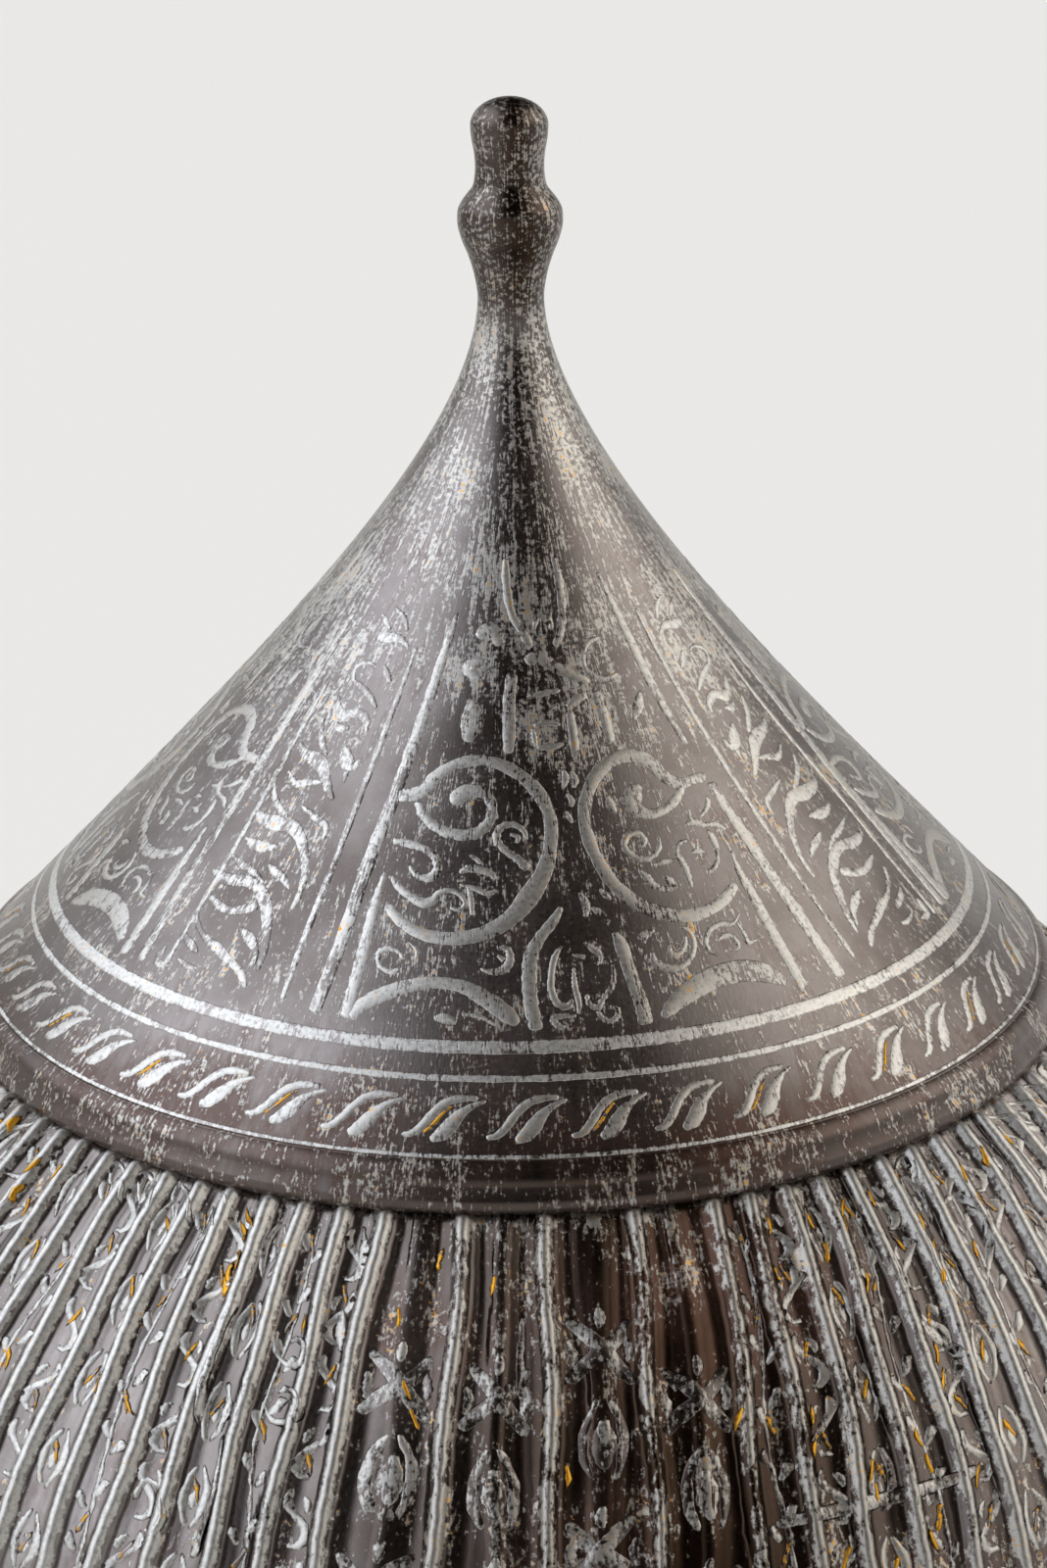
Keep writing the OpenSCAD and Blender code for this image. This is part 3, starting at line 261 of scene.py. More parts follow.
def damascened_iron():
    """Dark iron with silver and gold foil, rubbed along its hatching, and rust where nobody polished it."""
    material, tree, shader = new_material("damascened_iron")
    place = add(tree, "TexCoord", out="Object")
    flat = add(tree, "UVMap", uv_map="UVMap")
    slope = add(tree, "SeparateXYZ", {0: flat}, out="Y")
    # The map counts angles, so on the slender upper cone the streaks are drawn with a coarser scale
    low_streak = add(tree, "TexNoise", {"Scale": 1 / HATCH_MM, "Detail": 2.0, "Vector": add(
        tree, "Mapping", {"Vector": flat, "Scale": (1, 1 / HATCH_LENGTH, 1)})})
    high_streak = add(tree, "TexNoise", {"Scale": 1 / HATCH_MM, "Detail": 2.0, "Vector": add(
        tree, "Mapping", {"Vector": flat, "Scale": (0.4, 1 / HATCH_LENGTH, 1)})})
    height_up = add(tree, "MapRange", {"Value": slope, "From Min": 48.0, "From Max": 80.0})
    streak = add(tree, "Mix", {0: height_up, 2: low_streak, 3: high_streak})
    speck = add(tree, "TexNoise", {"Vector": place, "Scale": 1 / (SPECK_MM * MM), "Detail": 4.0,
                                   "Roughness": 0.7})
    cloud = add(tree, "TexNoise", {"Vector": place, "Scale": 1 / (CLOUD_MM * MM), "Detail": 3.0})
    patch = add(tree, "TexNoise", {"Vector": place, "Scale": PATCHES_PER_M, "Detail": 4.0, "Roughness": 0.6})
    # The neck and the finial are too slender for the map, and their foil has worn into spots only
    tip = add(tree, "MapRange", {"Value": slope, "From Min": 78.0, "From Max": 98.0})
    fine = add(tree, "Math", {0: add(tree, "Mix", {0: tip, 2: streak, 3: speck}), 1: speck}, operation="ADD")
    noise = add(tree, "Math", {0: fine, 1: 0.5}, operation="MULTIPLY")
    # Broad bands along the slope, where the upper cone was wiped from the tip downwards
    band = add(tree, "TexNoise", {"Scale": WIPES_PER_MM, "Detail": 3.0, "Roughness": 0.6, "Vector": add(
        tree, "Mapping", {"Vector": flat, "Scale": (1, 0.12, 1)})})
    wiped = add(tree, "Math", {0: band, 1: 0.9, 2: -0.45}, operation="MULTIPLY_ADD")
    wiped_high = add(tree, "Math", {0: wiped, 1: height_up}, operation="MULTIPLY")
    rubbed = add(tree, "TexNoise", {"Scale": RUBS_PER_MM, "Detail": 3.0, "Roughness": 0.6, "Vector": add(
        tree, "Mapping", {"Vector": flat, "Scale": (1, 0.25, 1)})})
    uneven_rub = add(tree, "Math", {0: rubbed, 1: 1.3, 2: wiped_high}, operation="MULTIPLY_ADD")
    wear = add(tree, "Math", {0: cloud, 1: 0.8, 2: add(
        tree, "Math", {0: uneven_rub, 1: 1.05}, operation="SUBTRACT")}, operation="MULTIPLY_ADD")
    # Each attribute is a level, and the wear raises or lowers all of them together
    silver, gold, rusty = (add(tree, "Math", {
        0: add(tree, "Attribute", out="Fac", attribute_name=name), 1: wear}, operation="ADD")
        for name in ("silver", "gold", "rust"))
    foil = threshold(tree, noise, silver, FOIL_EDGE)
    gilt = threshold(tree, speck, gold, GILT_EDGE)
    rust = add(tree, "Math", {0: threshold(tree, patch, rusty, RUST_EDGE), 1: 0.75}, operation="MULTIPLY")
    iron = add(tree, "ValToRGB", {0: patch}, stops=((0.35, "#6b6461"), (0.5, "#857f7c"), (0.68, "#9c9694")))
    # The scale attribute holds real brown scale together with painted shade: in four bands round the skull,
    # at the cone's foot and on the finial
    scale = add(tree, "Attribute", out="Fac", attribute_name="scale")
    scaled = add(tree, "Mix", {0: scale, 6: iron, 7: "#33271e"}, out=2, data_type="RGBA")
    aged = add(tree, "Mix", {0: rust, 6: scaled, 7: "#452a1d"}, out=2, data_type="RGBA")
    foil_tone = add(tree, "ValToRGB", {0: speck},
                    stops=((0.3, "#a5a39f"), (0.5, "#c8c7c3"), (0.7, "#dddcd8")))
    # Where the scale level is high, the foil that is left is painted darker: tarnish under real scale, and
    # painted shade where the scale level carries it
    tarnish = add(tree, "Math", {0: scale, 1: 0.65}, operation="MULTIPLY")
    tarnished = add(tree, "Mix", {0: tarnish, 6: foil_tone, 7: "#7f776c"}, out=2, data_type="RGBA")
    plated = add(tree, "Mix", {0: foil, 6: aged, 7: tarnished}, out=2, data_type="RGBA")
    both = add(tree, "Mix", {0: gilt, 6: plated, 7: "#d09a34"}, out=2, data_type="RGBA")
    tree.links.new(both, shader.inputs["Base Color"])
    metal = add(tree, "Math", {0: foil, 1: gilt}, operation="MAXIMUM")
    bare_rust = add(tree, "Math", {0: rust, 1: metal}, operation="SUBTRACT", use_clamp=True)
    tree.links.new(add(tree, "MapRange", {"Value": bare_rust, "To Min": 1.0, "To Max": 0.55}),
                   shader.inputs["Metallic"])
    # Polished iron is smoother than foil pressed into hatching, and the specks make both uneven
    rough = add(tree, "MapRange", {"Value": metal, "To Min": 0.27, "To Max": 0.42})
    uneven = add(tree, "Math", {0: speck, 1: 0.25, 2: rough}, operation="MULTIPLY_ADD")
    tree.links.new(add(tree, "Math", {0: uneven, 1: 0.1}, operation="SUBTRACT"), shader.inputs["Roughness"])
    height = add(tree, "Math", {0: noise, 1: 0.9, 2: metal}, operation="MULTIPLY_ADD")
    tree.links.new(add(tree, "Bump", {"Strength": 0.24, "Distance": 0.0001, "Height": height}),
                   shader.inputs["Normal"])
    return material


IRON = damascened_iron()
print("material:", IRON.name)

# %% [markdown]
# The plates that CAD made carry no map of their own, so their finish reads the place in space. They are the
# same russet iron, rubbed bright where hands and leather reach: the edges, which the Bevel node finds by
# comparing the real normal with a rounded one. Cast brass and silvered steel wear in the same way, so one
# function makes all three, with other colours and another grain.

# %% Russet plate, brass, silvered steel
PATINA_PER_M = 45.0         # the patina lies in clouds of 22 mm
BRUSHES_PER_M = 2600.0      # brushed lines stand 0.4 mm apart


def worn_metal(name, dark, mid, bright, edge, roughness, grain_mm, pits=0.3, metallic=1.0, wear=0.9):
    """A surface with cloudy patina, fine brushed grain and brighter worn edges: the product of the grain and
    of how far the rounded normal differs from the real one gives the wear."""
    material, tree, shader = new_material(name)
    place = add(tree, "TexCoord", out="Object")
    patina = add(tree, "TexNoise", {"Vector": place, "Scale": PATINA_PER_M, "Detail": 5.0, "Roughness": 0.62})
    grain = add(tree, "TexNoise", {"Vector": place, "Scale": 1 / (grain_mm * MM), "Detail": 2.0})
    drawn_out = add(tree, "Mapping", {"Vector": place, "Scale": (1, 1, 0.06)})
    brush = add(tree, "TexNoise", {"Vector": drawn_out, "Scale": BRUSHES_PER_M, "Detail": 1.0})
    base = add(tree, "ValToRGB", {0: patina}, stops=((0.32, dark), (0.5, mid), (0.7, bright)))
    rounded = add(tree, "Bevel", {"Radius": 0.0007}, samples=4)
    sharp = add(tree, "NewGeometry", out="Normal")
    same = add(tree, "VectorMath", {0: rounded, 1: sharp}, out="Value", operation="DOT_PRODUCT")
    at_edge = add(tree, "MapRange", {"Value": same, "From Min": 0.995, "From Max": 0.9, "To Max": wear})
    rubbed = add(tree, "Math", {0: at_edge, 1: grain}, operation="MULTIPLY")
    rub = add(tree, "Math", {0: rubbed, 1: 1.7}, operation="MULTIPLY", use_clamp=True)
    colour = add(tree, "Mix", {0: rub, 6: base, 7: edge}, out=2, data_type="RGBA")
    tree.links.new(colour, shader.inputs["Base Color"])
    shader.inputs["Metallic"].default_value = metallic
    mix = add(tree, "Math", {0: brush, 1: 0.14, 2: roughness - 0.07}, operation="MULTIPLY_ADD")
    tree.links.new(add(tree, "Math", {0: grain, 1: 0.2, 2: mix}, operation="MULTIPLY_ADD"),
                   shader.inputs["Roughness"])
    height = add(tree, "Math", {0: grain, 1: 0.6, 2: brush}, operation="MULTIPLY_ADD")
    tree.links.new(add(tree, "Bump", {"Strength": pits, "Distance": 0.0001, "Height": height}),
                   shader.inputs["Normal"])
    return material


RUSSET = worn_metal("russet_plate", "#2a211c", "#473d37", "#6a5f58", "#b5b0a8", 0.36, 0.5)
SILVERED = worn_metal("silvered_steel", "#7d7b76", "#b4b3ae", "#d2d1cc", "#ecebe6", 0.32, 0.4, 0.2)
BRASS = worn_metal("gilt_brass", "#5e4420", "#9a7434", "#c89d4e", "#e8c67c", 0.3, 0.35, 0.25)
print("materials:", [material.name for material in (RUSSET, SILVERED, BRASS)])

# %% [markdown]
# Oiled leather has fine cells of grain with creases between them, and the quilted lining is wool twill, whose
# threads run in diagonal ridges. Both follow the piece's own UV map, which is measured in millimetres, so
# that grain and weave turn with the surface. The stitches are waxed linen thread, dull and without metal.

# %% Leather, wool and thread
CELLS_PER_MM = 1.3          # the cells of the grain are 0.8 mm wide
PORES_PER_MM = 2.5
MARKS_PER_MM = 0.16         # handling marks are 6 mm wide
TWILL_MM = 1.1              # distance between the ridges of the twill
WAVES_PER_UNIT = 1.6        # a Wave node at scale 1 draws this many bands


def oiled_leather():
    """Vegetable-tanned leather: Voronoi cells make the grain and noise makes the handling marks."""
    material, tree, shader = new_material("oiled_leather")
    place = add(tree, "UVMap", uv_map="UVMap")
    cells = add(tree, "TexVoronoi", {"Vector": place, "Scale": CELLS_PER_MM, "Randomness": 1.0},
                feature="DISTANCE_TO_EDGE")
    marks = add(tree, "TexNoise", {"Vector": place, "Scale": MARKS_PER_MM, "Detail": 5.0, "Roughness": 0.6})
    fine = add(tree, "TexNoise", {"Vector": place, "Scale": PORES_PER_MM, "Detail": 2.0})
    brown = add(tree, "ValToRGB", {0: marks}, stops=((0.3, "#2a1710"), (0.5, "#4a2c1c"), (0.72, "#6b452c")))
    tree.links.new(brown, shader.inputs["Base Color"])
    groove = add(tree, "MapRange", {"Value": cells, "From Max": 0.12})
    height = add(tree, "Math", {0: fine, 1: 0.4, 2: groove}, operation="MULTIPLY_ADD")
    tree.links.new(add(tree, "Bump", {"Strength": 0.5, "Distance": 0.00025, "Height": height}),
                   shader.inputs["Normal"])
    tree.links.new(add(tree, "MapRange", {"Value": marks, "To Min": 0.62, "To Max": 0.45}),
                   shader.inputs["Roughness"])
    return material


def wool_twill():
    """Red wool twill: a diagonal wave makes the ridges, and noise makes the fluff on them."""
    material, tree, shader = new_material("quilted_wool")
    place = add(tree, "UVMap", uv_map="UVMap")
    ridges = add(tree, "TexWave", {"Vector": place, "Scale": 1 / TWILL_MM / WAVES_PER_UNIT,
                                   "Distortion": 0.6, "Detail": 1.0}, bands_direction="DIAGONAL")
    fluff = add(tree, "TexNoise", {"Vector": place, "Scale": 1.8, "Detail": 3.0})
    fade = add(tree, "TexNoise", {"Vector": place, "Scale": 0.05, "Detail": 4.0})
    base = add(tree, "ValToRGB", {0: fade}, stops=((0.3, "#571814"), (0.55, "#7c261f"), (0.75, "#96443a")))
    # Painted highlight: the ridges are painted paler where the fluff rises on them
    lit = add(tree, "Math", {0: ridges, 1: fluff}, operation="MULTIPLY")
    shaded = add(tree, "Mix", {0: lit, 6: base, 7: "#a4564a"}, out=2, data_type="RGBA")
    tree.links.new(shaded, shader.inputs["Base Color"])
    height = add(tree, "Math", {0: fluff, 1: 0.8, 2: ridges}, operation="MULTIPLY_ADD")
    tree.links.new(add(tree, "Bump", {"Strength": 0.6, "Distance": 0.0004, "Height": height}),
                   shader.inputs["Normal"])
    shader.inputs["Roughness"].default_value = 0.9
    shader.inputs["Sheen Weight"].default_value = 0.25
    shader.inputs["Sheen Roughness"].default_value = 0.5
    return material


LEATHER = oiled_leather()
WOOL = wool_twill()
THREAD = worn_metal("waxed_thread", "#8f8468", "#b5a988", "#cfc5a6", "#d9d0b4", 0.7, 0.25, 0.3, metallic=0.0)
print("materials:", [material.name for material in (LEATHER, WOOL, THREAD)])

# %% [markdown]
# ## The skull
# The real skull was raised from one plate and then fluted. Its shape is two curves turned round the axis: the
# hollow cone from the finial's neck to its edge, and the crest line of the ribs from there to the brow band.
# Both are the cubic curves of the CAD skull. A place on the cone is given by its angle from the face and its
# distance s up the slope from the cone's edge.

# %% The skull's curves
BROW_R, BAND_H, SKULL_WALL = 109.0, 17.0, 1.6
FLUTE_TOP_R, SHOULDER_Z, NECK_R, NECK_Z, TIP_Z = 71.7, 79.0, 4.05, 167.3, 191.0
KNOP_R, BUD_R = 6.4, 4.65
RIB_H, RIBS = 1.2, 100
CONE = [[68.0, 84.0], [36.3, 116.5], [NECK_R, 148.6], [NECK_R, NECK_Z]]
CREST = [[70.64, 79.75], [89.1, 66.7], [114.0, 38.4], [109.9, 17.0]]


def arc_table(points, count=2000):
    """Arc length, points and outward normals along a cubic curve."""
    p = bezier(points, np.linspace(0, 1, count))
    d = np.gradient(p, axis=0)
    d /= np.linalg.norm(d, axis=1)[:, None]
    return distances(p), p, np.stack([np.abs(d[:, 1]), np.abs(d[:, 0])], -1)


def through(points, count):
    """A smooth curve through points: cubic pieces, each point's slope being that of its neighbours' chord."""
    p = np.asarray(points, float)
    t = distances(p[:, :2])
    m = np.gradient(p, t, axis=0)
    q = np.linspace(0, t[-1], count)
    i = np.clip(np.searchsorted(t, q, side="right") - 1, 0, len(t) - 2)
    h = (t[i + 1] - t[i])[:, None]
    u = (q - t[i])[:, None] / h
    return ((2 * u ** 3 - 3 * u ** 2 + 1) * p[i] + (u ** 3 - 2 * u ** 2 + u) * h * m[i]
            + (3 * u ** 2 - 2 * u ** 3) * p[i + 1] + (u ** 3 - u ** 2) * h * m[i + 1])


CONE_TABLE, CREST_TABLE = arc_table(CONE), arc_table(CREST)


def along(table, s, height=0.0):
    """Radius and height of a place at arc length s, raised along the normal by height."""
    length, p, normal = table
    r, z, nr, nz = (np.interp(s, length, v) for v in (p[:, 0], p[:, 1], normal[:, 0], normal[:, 1]))
    return r + height * nr, z + height * nz


TIP_LEAN = 0.7              # the forged point stands 0.7 mm out of line
LEAN_FROM_Z, LEAN_RISE = 105.0, 55.0


def placed(angle, r, z):
    """Points from an angle counted from the face towards the wearer's left, a radius and a height. The upper
    cone leans a little to the wearer's left."""
    sideways = TIP_LEAN * step((z - LEAN_FROM_Z) / LEAN_RISE)
    return np.stack([r * np.sin(angle) + sideways, -r * np.cos(angle), z + 0 * angle], -1)


CONE_LENGTH, CREST_LENGTH = CONE_TABLE[0][-1], CREST_TABLE[0][-1]
UV_RADIUS = 60.0            # the UV map of the skull is (angle x 60 mm, distance along the slope)


def skull_piece(name, grid, uv, values, along=False, weld=0.001):
    """A closed surface of damascened iron that stands for a part of the skull."""
    piece = skin(name, grid, "root", IRON, around=True, along=along, uv=uv, values=values, weld=weld,
                 turn=2 * np.pi * UV_RADIUS)
    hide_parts("skull")
    print(name, len(piece.data.polygons), "faces")
    return piece


print("cone slope", round(CONE_LENGTH, 1), "mm, ribs", round(CREST_LENGTH, 1), "mm")

# %% [markdown]
# The crown is turned in one piece: the hollow inside, the rolled collar under the cone's edge, the cone and
# the finial with its two swellings. Four levels go with each point. Silver rises a little up the cone, more
# on its two sides, where it is a painted highlight, and falls again on the finial, as painted shade. Scale,
# the brown skin of old iron, lies evenly over the iron, and painted shade raises it on the finial, at the
# foot of the cone and in four bands round the skull. Rust sits along the cone's edge and under it.

# %% Crown and finial


def finial_profile():
    """A smooth line through the finial's measured radii, and a quarter of an ellipse for the round tip."""
    points = [(NECK_R, NECK_Z), (4.22, 168.6), (4.42, 169.6), (4.66, 170.6), (4.97, 171.6), (5.34, 172.6),
              (5.77, 173.6), (6.13, 174.7), (6.38, 175.8), (KNOP_R, 176.8), (6.3, 177.7), (5.85, 178.6),
              (5.1, 179.6), (4.5, 180.4), (4.27, 181.4), (4.17, 182.6), (4.2, 183.6), (4.3, 184.6),
              (4.5, 185.6), (BUD_R, 186.7), (BUD_R + 0.05, 187.6)]
    a = np.radians(np.linspace(6, 90, 18))
    r, z = points[-1]
    tip = np.stack([r * np.cos(a), z + (TIP_Z - z) * np.sin(a)], -1)
    return np.concatenate([through(points, 70)[1:], tip])


def crown_profile():
    """From the inner pole out to the collar, up the cone and over the finial to the outer pole."""
    s = np.linspace(1.5, 62, 24)
    hollow = np.stack(along(CONE_TABLE, s, -SKULL_WALL), -1)[::-1]
    angles = np.radians(np.linspace(5, 75, 9))
    roll = np.stack([67.2 + 2.9 * np.cos(angles), 81.2 + 2.9 * np.sin(angles)], -1)
    collar = np.array([[69.1, 78.1], [69.95, 77.9], [71.3, 79.2], [70.9, 80.4]])
    cone = np.stack(along(CONE_TABLE, np.linspace(0, CONE_LENGTH, 190)), -1)
    pole = hollow[0, 1] + hollow[0, 0]
    return np.concatenate([[[0, pole]], hollow, collar, roll, cone, finial_profile()])


def painted_shade_bands(angle):
    """Painted shade, from 0 to 1: a raised cosine with four crests round the skull, the first of them in
    front. It darkens the iron and dims its foil there."""
    return 0.5 * (1 + np.cos(4 * angle - 0.35))


COLUMNS = 300
profile = crown_profile()
s_of = distances(profile)
outside = profile[:, 1] > 83.9          # from the cone's edge upwards
s_here = s_of - s_of[np.argmax(outside & (profile[:, 0] > 67))]
angle = np.arange(COLUMNS) * 2 * np.pi / COLUMNS
upper = step((s_here - 42) / 20)
# Painted shade on the finial: less silver and more scale there
finial_shade = step((s_here - 100) / 8)
foot = np.exp(-(s_here / 7) ** 2)
foil = np.where(outside, 0.25 + 0.13 * upper - 0.08 * finial_shade, 0.3)
left, right = np.clip(np.sin(angle), 0, 1), np.clip(-np.sin(angle), 0, 1)
# Painted highlight: more silver on the upper cone's two sides
side_highlight = (0.12 * left + 0.07 * right)[None, :] * upper[:, None]
rust = np.where(outside, 0.45 * np.exp(-((s_here - 1) / 5) ** 2) + 0.12, 0.58)
# Scale: real brown scale evenly, more inside, with painted shade added on the finial and in four bands round
# the skull, strongest at the cone's foot and up the cone
scale_and_finial_shade = np.maximum(0.75 * finial_shade, 0.27 + ~outside * 0.1)
shade_share = 0.4 + 0.4 * upper + 1.3 * foot
dark = scale_and_finial_shade[:, None] + 0.32 * (painted_shade_bands(angle) * shade_share[:, None])
skull_piece("skull_crown", placed(angle[None, :], profile[:, :1], profile[:, 1:]),
            uv_pairs(angle * UV_RADIUS, s_here),
            {"silver": foil[:, None] + side_highlight, "gold": 0 * side_highlight, "rust": rust[:, None] + 0 * side_highlight,
             "scale": np.clip(dark, 0, 1)})

# %% [markdown]
# The fluted zone has a hundred ribs. Each was raised with hammer and punch, so it is a narrow round crest,
# 2.5 mm wide at its foot, with a hollow channel on each side, and in front the ribs lean a little towards one
# side. The grid has columns at fixed distances in millimetres round each crest, so that a crest keeps its
# width while the channels widen. The crests keep their foil, less of it in four bands of painted shade round
# the skull, the first in front.

# %% Fluted zone
CREST_STEPS = np.array([-1.25, -0.94, -0.62, -0.3, 0.0, 0.3, 0.62, 0.94, 1.25])
CREST_HEIGHTS = np.array([0.0, 0.31, 0.79, 0.96, 1.0, 0.96, 0.79, 0.31, 0.0]) * RIB_H
CREST_HALF = CREST_STEPS[-1]
CHANNEL_STEPS = np.array([0.12, 0.3, 0.5, 0.7, 0.88])
CHANNEL_DEPTH = 0.3
RIB_START = math.radians(2.7)
RIB_PITCH = 2 * np.pi / RIBS
QUARTER = 25                # ribs in a quarter of the skull
WORN = [1, 20, 22, 24]      # four in each quarter are rubbed nearly flat, and a wide channel is left there
WORN_RIBS = np.zeros(QUARTER)
WORN_RIBS[WORN] = [0.75, 0.85, 0.7, 0.85]


def lean(angle, s):
    """In front the ribs lean to the wearer's right as they fall, by 0.7 to 2.7 degrees over 40 mm, and those
    right of the middle start 0.8 degrees further round."""
    a = (np.degrees(angle) + 180) % 360 - 180
    window = step((a + 75) / 30) * step((85 - a) / 30)
    fall = (0.7 + 2.0 * step((a + 8) / 18)) * np.clip(s / 40, 0, 1.3)
    start = 0.8 * step((1 - a) / 6)
    return -np.radians((fall + start) * window)


def rib_wear(angle):
    """How much of the nearest rib is rubbed away, from 0 to 1."""
    number = np.floor((angle - RIB_START) / RIB_PITCH + 0.5).astype(int)
    return WORN_RIBS[number % QUARTER]


def wobble(angle, s):
    """Hand work: each rib swings by a few tenths of a millimetre, as the sum of three sines, each with its
    own start for each rib."""
    rib = np.round(angle * RIBS / (2 * np.pi))
    return (0.32 * np.sin(rib * 2.4 + s / 9.0) + 0.22 * np.sin(rib * 5.1 + s / 3.7)
            + 0.07 * np.sin(rib * 7.3 + s * 1.9)) / 100


def fluted(angle, s, height=0.0):
    """A place on the fluted surface by angle and distance down the crest line: across a rib the height
    follows the crest's own steps, and between two ribs it sinks by the square of a sine."""
    r, _ = along(CREST_TABLE, s)
    x = ((angle - RIB_START + RIB_PITCH / 2) % RIB_PITCH - RIB_PITCH / 2) * r
    half = RIB_PITCH * r / 2
    crest = np.interp(np.abs(x), CREST_STEPS[4:], CREST_HEIGHTS[4:]) * (1 - rib_wear(angle))
    across = np.clip((np.abs(x) - CREST_HALF) / np.maximum(half - CREST_HALF, 0.1), 0, 1)
    deep = -CHANNEL_DEPTH * np.sin(across * np.pi / 2) ** 2
    fade = np.clip((CREST_LENGTH - s) / 3, 0, 1) * np.clip(s / 1.5, 0.15, 1)
    raised = (crest + np.where(np.abs(x) > CREST_HALF, deep, 0)) * fade - RIB_H + height
    return placed(angle + lean(angle, s) + wobble(angle, s), *along(CREST_TABLE, s, raised))


rows = np.linspace(0.0, CREST_LENGTH, 50)
r_row = along(CREST_TABLE, rows)[0]
crest_angles = CREST_STEPS[None, :] / r_row[:, None]
channel = CREST_HALF / r_row[:, None] + (RIB_PITCH - 2 * CREST_HALF / r_row[:, None]) * CHANNEL_STEPS[None, :]
cell = np.concatenate([crest_angles, channel], 1)
starts = np.arange(RIBS)[None, :, None] * RIB_PITCH + RIB_START
columns = (starts + cell[:, None, :]).reshape(len(rows), -1)
on_crest = np.tile(np.concatenate([CREST_HEIGHTS / RIB_H, 0 * CHANNEL_STEPS]), RIBS)[None, :]
outer = fluted(columns, rows[:, None])
inner_rows = np.linspace(CREST_LENGTH, 0.0, 9)
inner_columns = np.repeat(columns[-1:], len(inner_rows), 0)
inner = placed(inner_columns, *[v[:, None] + 0 * inner_columns for v in
                                along(CREST_TABLE, inner_rows, -RIB_H - SKULL_WALL)])

# %% Foil on the ribs
# Painted shade in four bands round the skull, the first in front: there the crests keep less foil, the
# channels a little more, and the iron gets more scale and rust
rib_shade = painted_shade_bands(columns)
# Right under the collar a line of foil was never touched
frost = 0.4 * np.exp(-rows[:, None] / 2)
shine = 0.11 + 0.14 * rib_shade + frost + on_crest ** 0.9 * (1 - rib_wear(columns)) * (0.95 - 0.65 * rib_shade)
shine = np.concatenate([shine, 0 * inner_columns])
dark = np.concatenate([rib_shade, 0 * inner_columns])
s_wall = np.concatenate([rows, CREST_LENGTH + 3 + inner_rows[::-1]])[:, None]
both_columns = np.concatenate([columns, inner_columns])
skull_piece("skull_flutes", np.concatenate([outer, inner]),
            np.stack(np.broadcast_arrays(both_columns * UV_RADIUS, -s_wall - 20), -1),
            {"silver": shine, "gold": 0 * shine, "rust": 0.12 + 0.3 * dark, "scale": dark}, along=True)

# %% [markdown]
# Below the flutes the plate ends in a plain band with a bead above it. It is a closed profile turned round.
# Only the bead is silvered.

# %% Brow band
BAND_COLUMNS = 240
BAND_ANGLES = np.arange(BAND_COLUMNS) * 2 * np.pi / BAND_COLUMNS


def brow_profile():
    """The band's face, the half-round bead over it and the smooth inner wall, with softened lower edges."""
    bead = np.radians(np.linspace(-70, 110, 14))
    bead = np.stack([BROW_R - 0.1 + 1.5 * np.cos(bead), BAND_H + 1.5 * np.sin(bead)], -1)
    inner_r = BROW_R - SKULL_WALL
    face = np.array([[inner_r, 0.5], [inner_r + 0.15, 0.15], [inner_r + 0.5, 0], [BROW_R - 0.5, 0],
                     [BROW_R - 0.15, 0.15], [BROW_R, 0.5], [BROW_R, 5], [BROW_R, 10], [BROW_R, BAND_H - 1.7]])
    back = np.array([[inner_r - 0.5, BAND_H + 0.8], [inner_r - 0.5, BAND_H - 0.6], [inner_r, BAND_H - 1.6],
                     [inner_r, 8]])
    return np.concatenate([face, bead, back])


profile = brow_profile()
bead_silver = np.where((profile[:, 1] > BAND_H - 1) & (profile[:, 0] > BROW_R), 0.75, 0.14)
skull_piece("skull_brow_band", turned(profile, BAND_COLUMNS),
            uv_pairs(BAND_ANGLES * UV_RADIUS, -110 - np.arange(len(profile)) * 1.5),
            {"silver": bead_silver[:, None], "gold": 0.0, "scale": 0.3}, along=True)

# %% [markdown]
# ## The overlay
# The silver strapwork and foliage lie on the cone as thin foil. Each stroke is drawn in the unrolled plane,
# in millimetres across from the middle of its panel and up the slope, with its width at a few points. A
# smooth curve goes through them, and a ribbon with a slightly raised back and sunk edges is laid along it.
# The pattern repeats four times round the cone: a broad panel with two scrolls, and a narrow one with leaves.

# %% Ribbons
SUNK = -0.08                # a ribbon's edges lie this deep in the plate, so that no gap shows
POINT = 0.002               # share of the width that is left at a stroke's ends
RIBBON_SIDES = np.array([-1.0, -0.7, 0.0, 0.7, 1.0])
RIBBON_BACK = np.array([SUNK, 0.035, 0.05, 0.035, SUNK])
RIBBON_SILVER = np.array([0.5, 0.9, 1.0, 0.9, 0.5])


def ribbon_plane(strokes, rows):
    """Strokes [(across, up, width), ...] as ribbons [stroke, row, column] in the plane, with their heights.
    Each row lies at right angles to the curve, half as wide as the width there to either side, and two sines
    make its edges as ragged as hammered foil."""
    lines = np.stack([through(stroke, rows) for stroke in strokes])
    d = np.gradient(lines[..., :2], axis=1)
    d /= np.linalg.norm(d, axis=-1, keepdims=True)
    side = np.stack([-d[..., 1], d[..., 0]], -1)
    row = np.arange(rows)
    ends = np.where((row == 0) | (row == rows - 1), POINT, 1.0)[None, :]
    number = np.arange(len(strokes))[:, None]
    ragged = 0.07 * np.sin(number * 1.7 + row * 2.3) + 0.05 * np.sin(number * 3.1 + row * 4.1)
    half = (np.clip(lines[..., 2], 0.3, None) / 2 + ragged) * ends
    flat = lines[..., None, :2] + side[..., None, :] * (half[..., None] * RIBBON_SIDES)[..., None]
    height = np.where(ends[..., None] < 1, SUNK, RIBBON_BACK * np.ones_like(half)[..., None])
    return flat, height


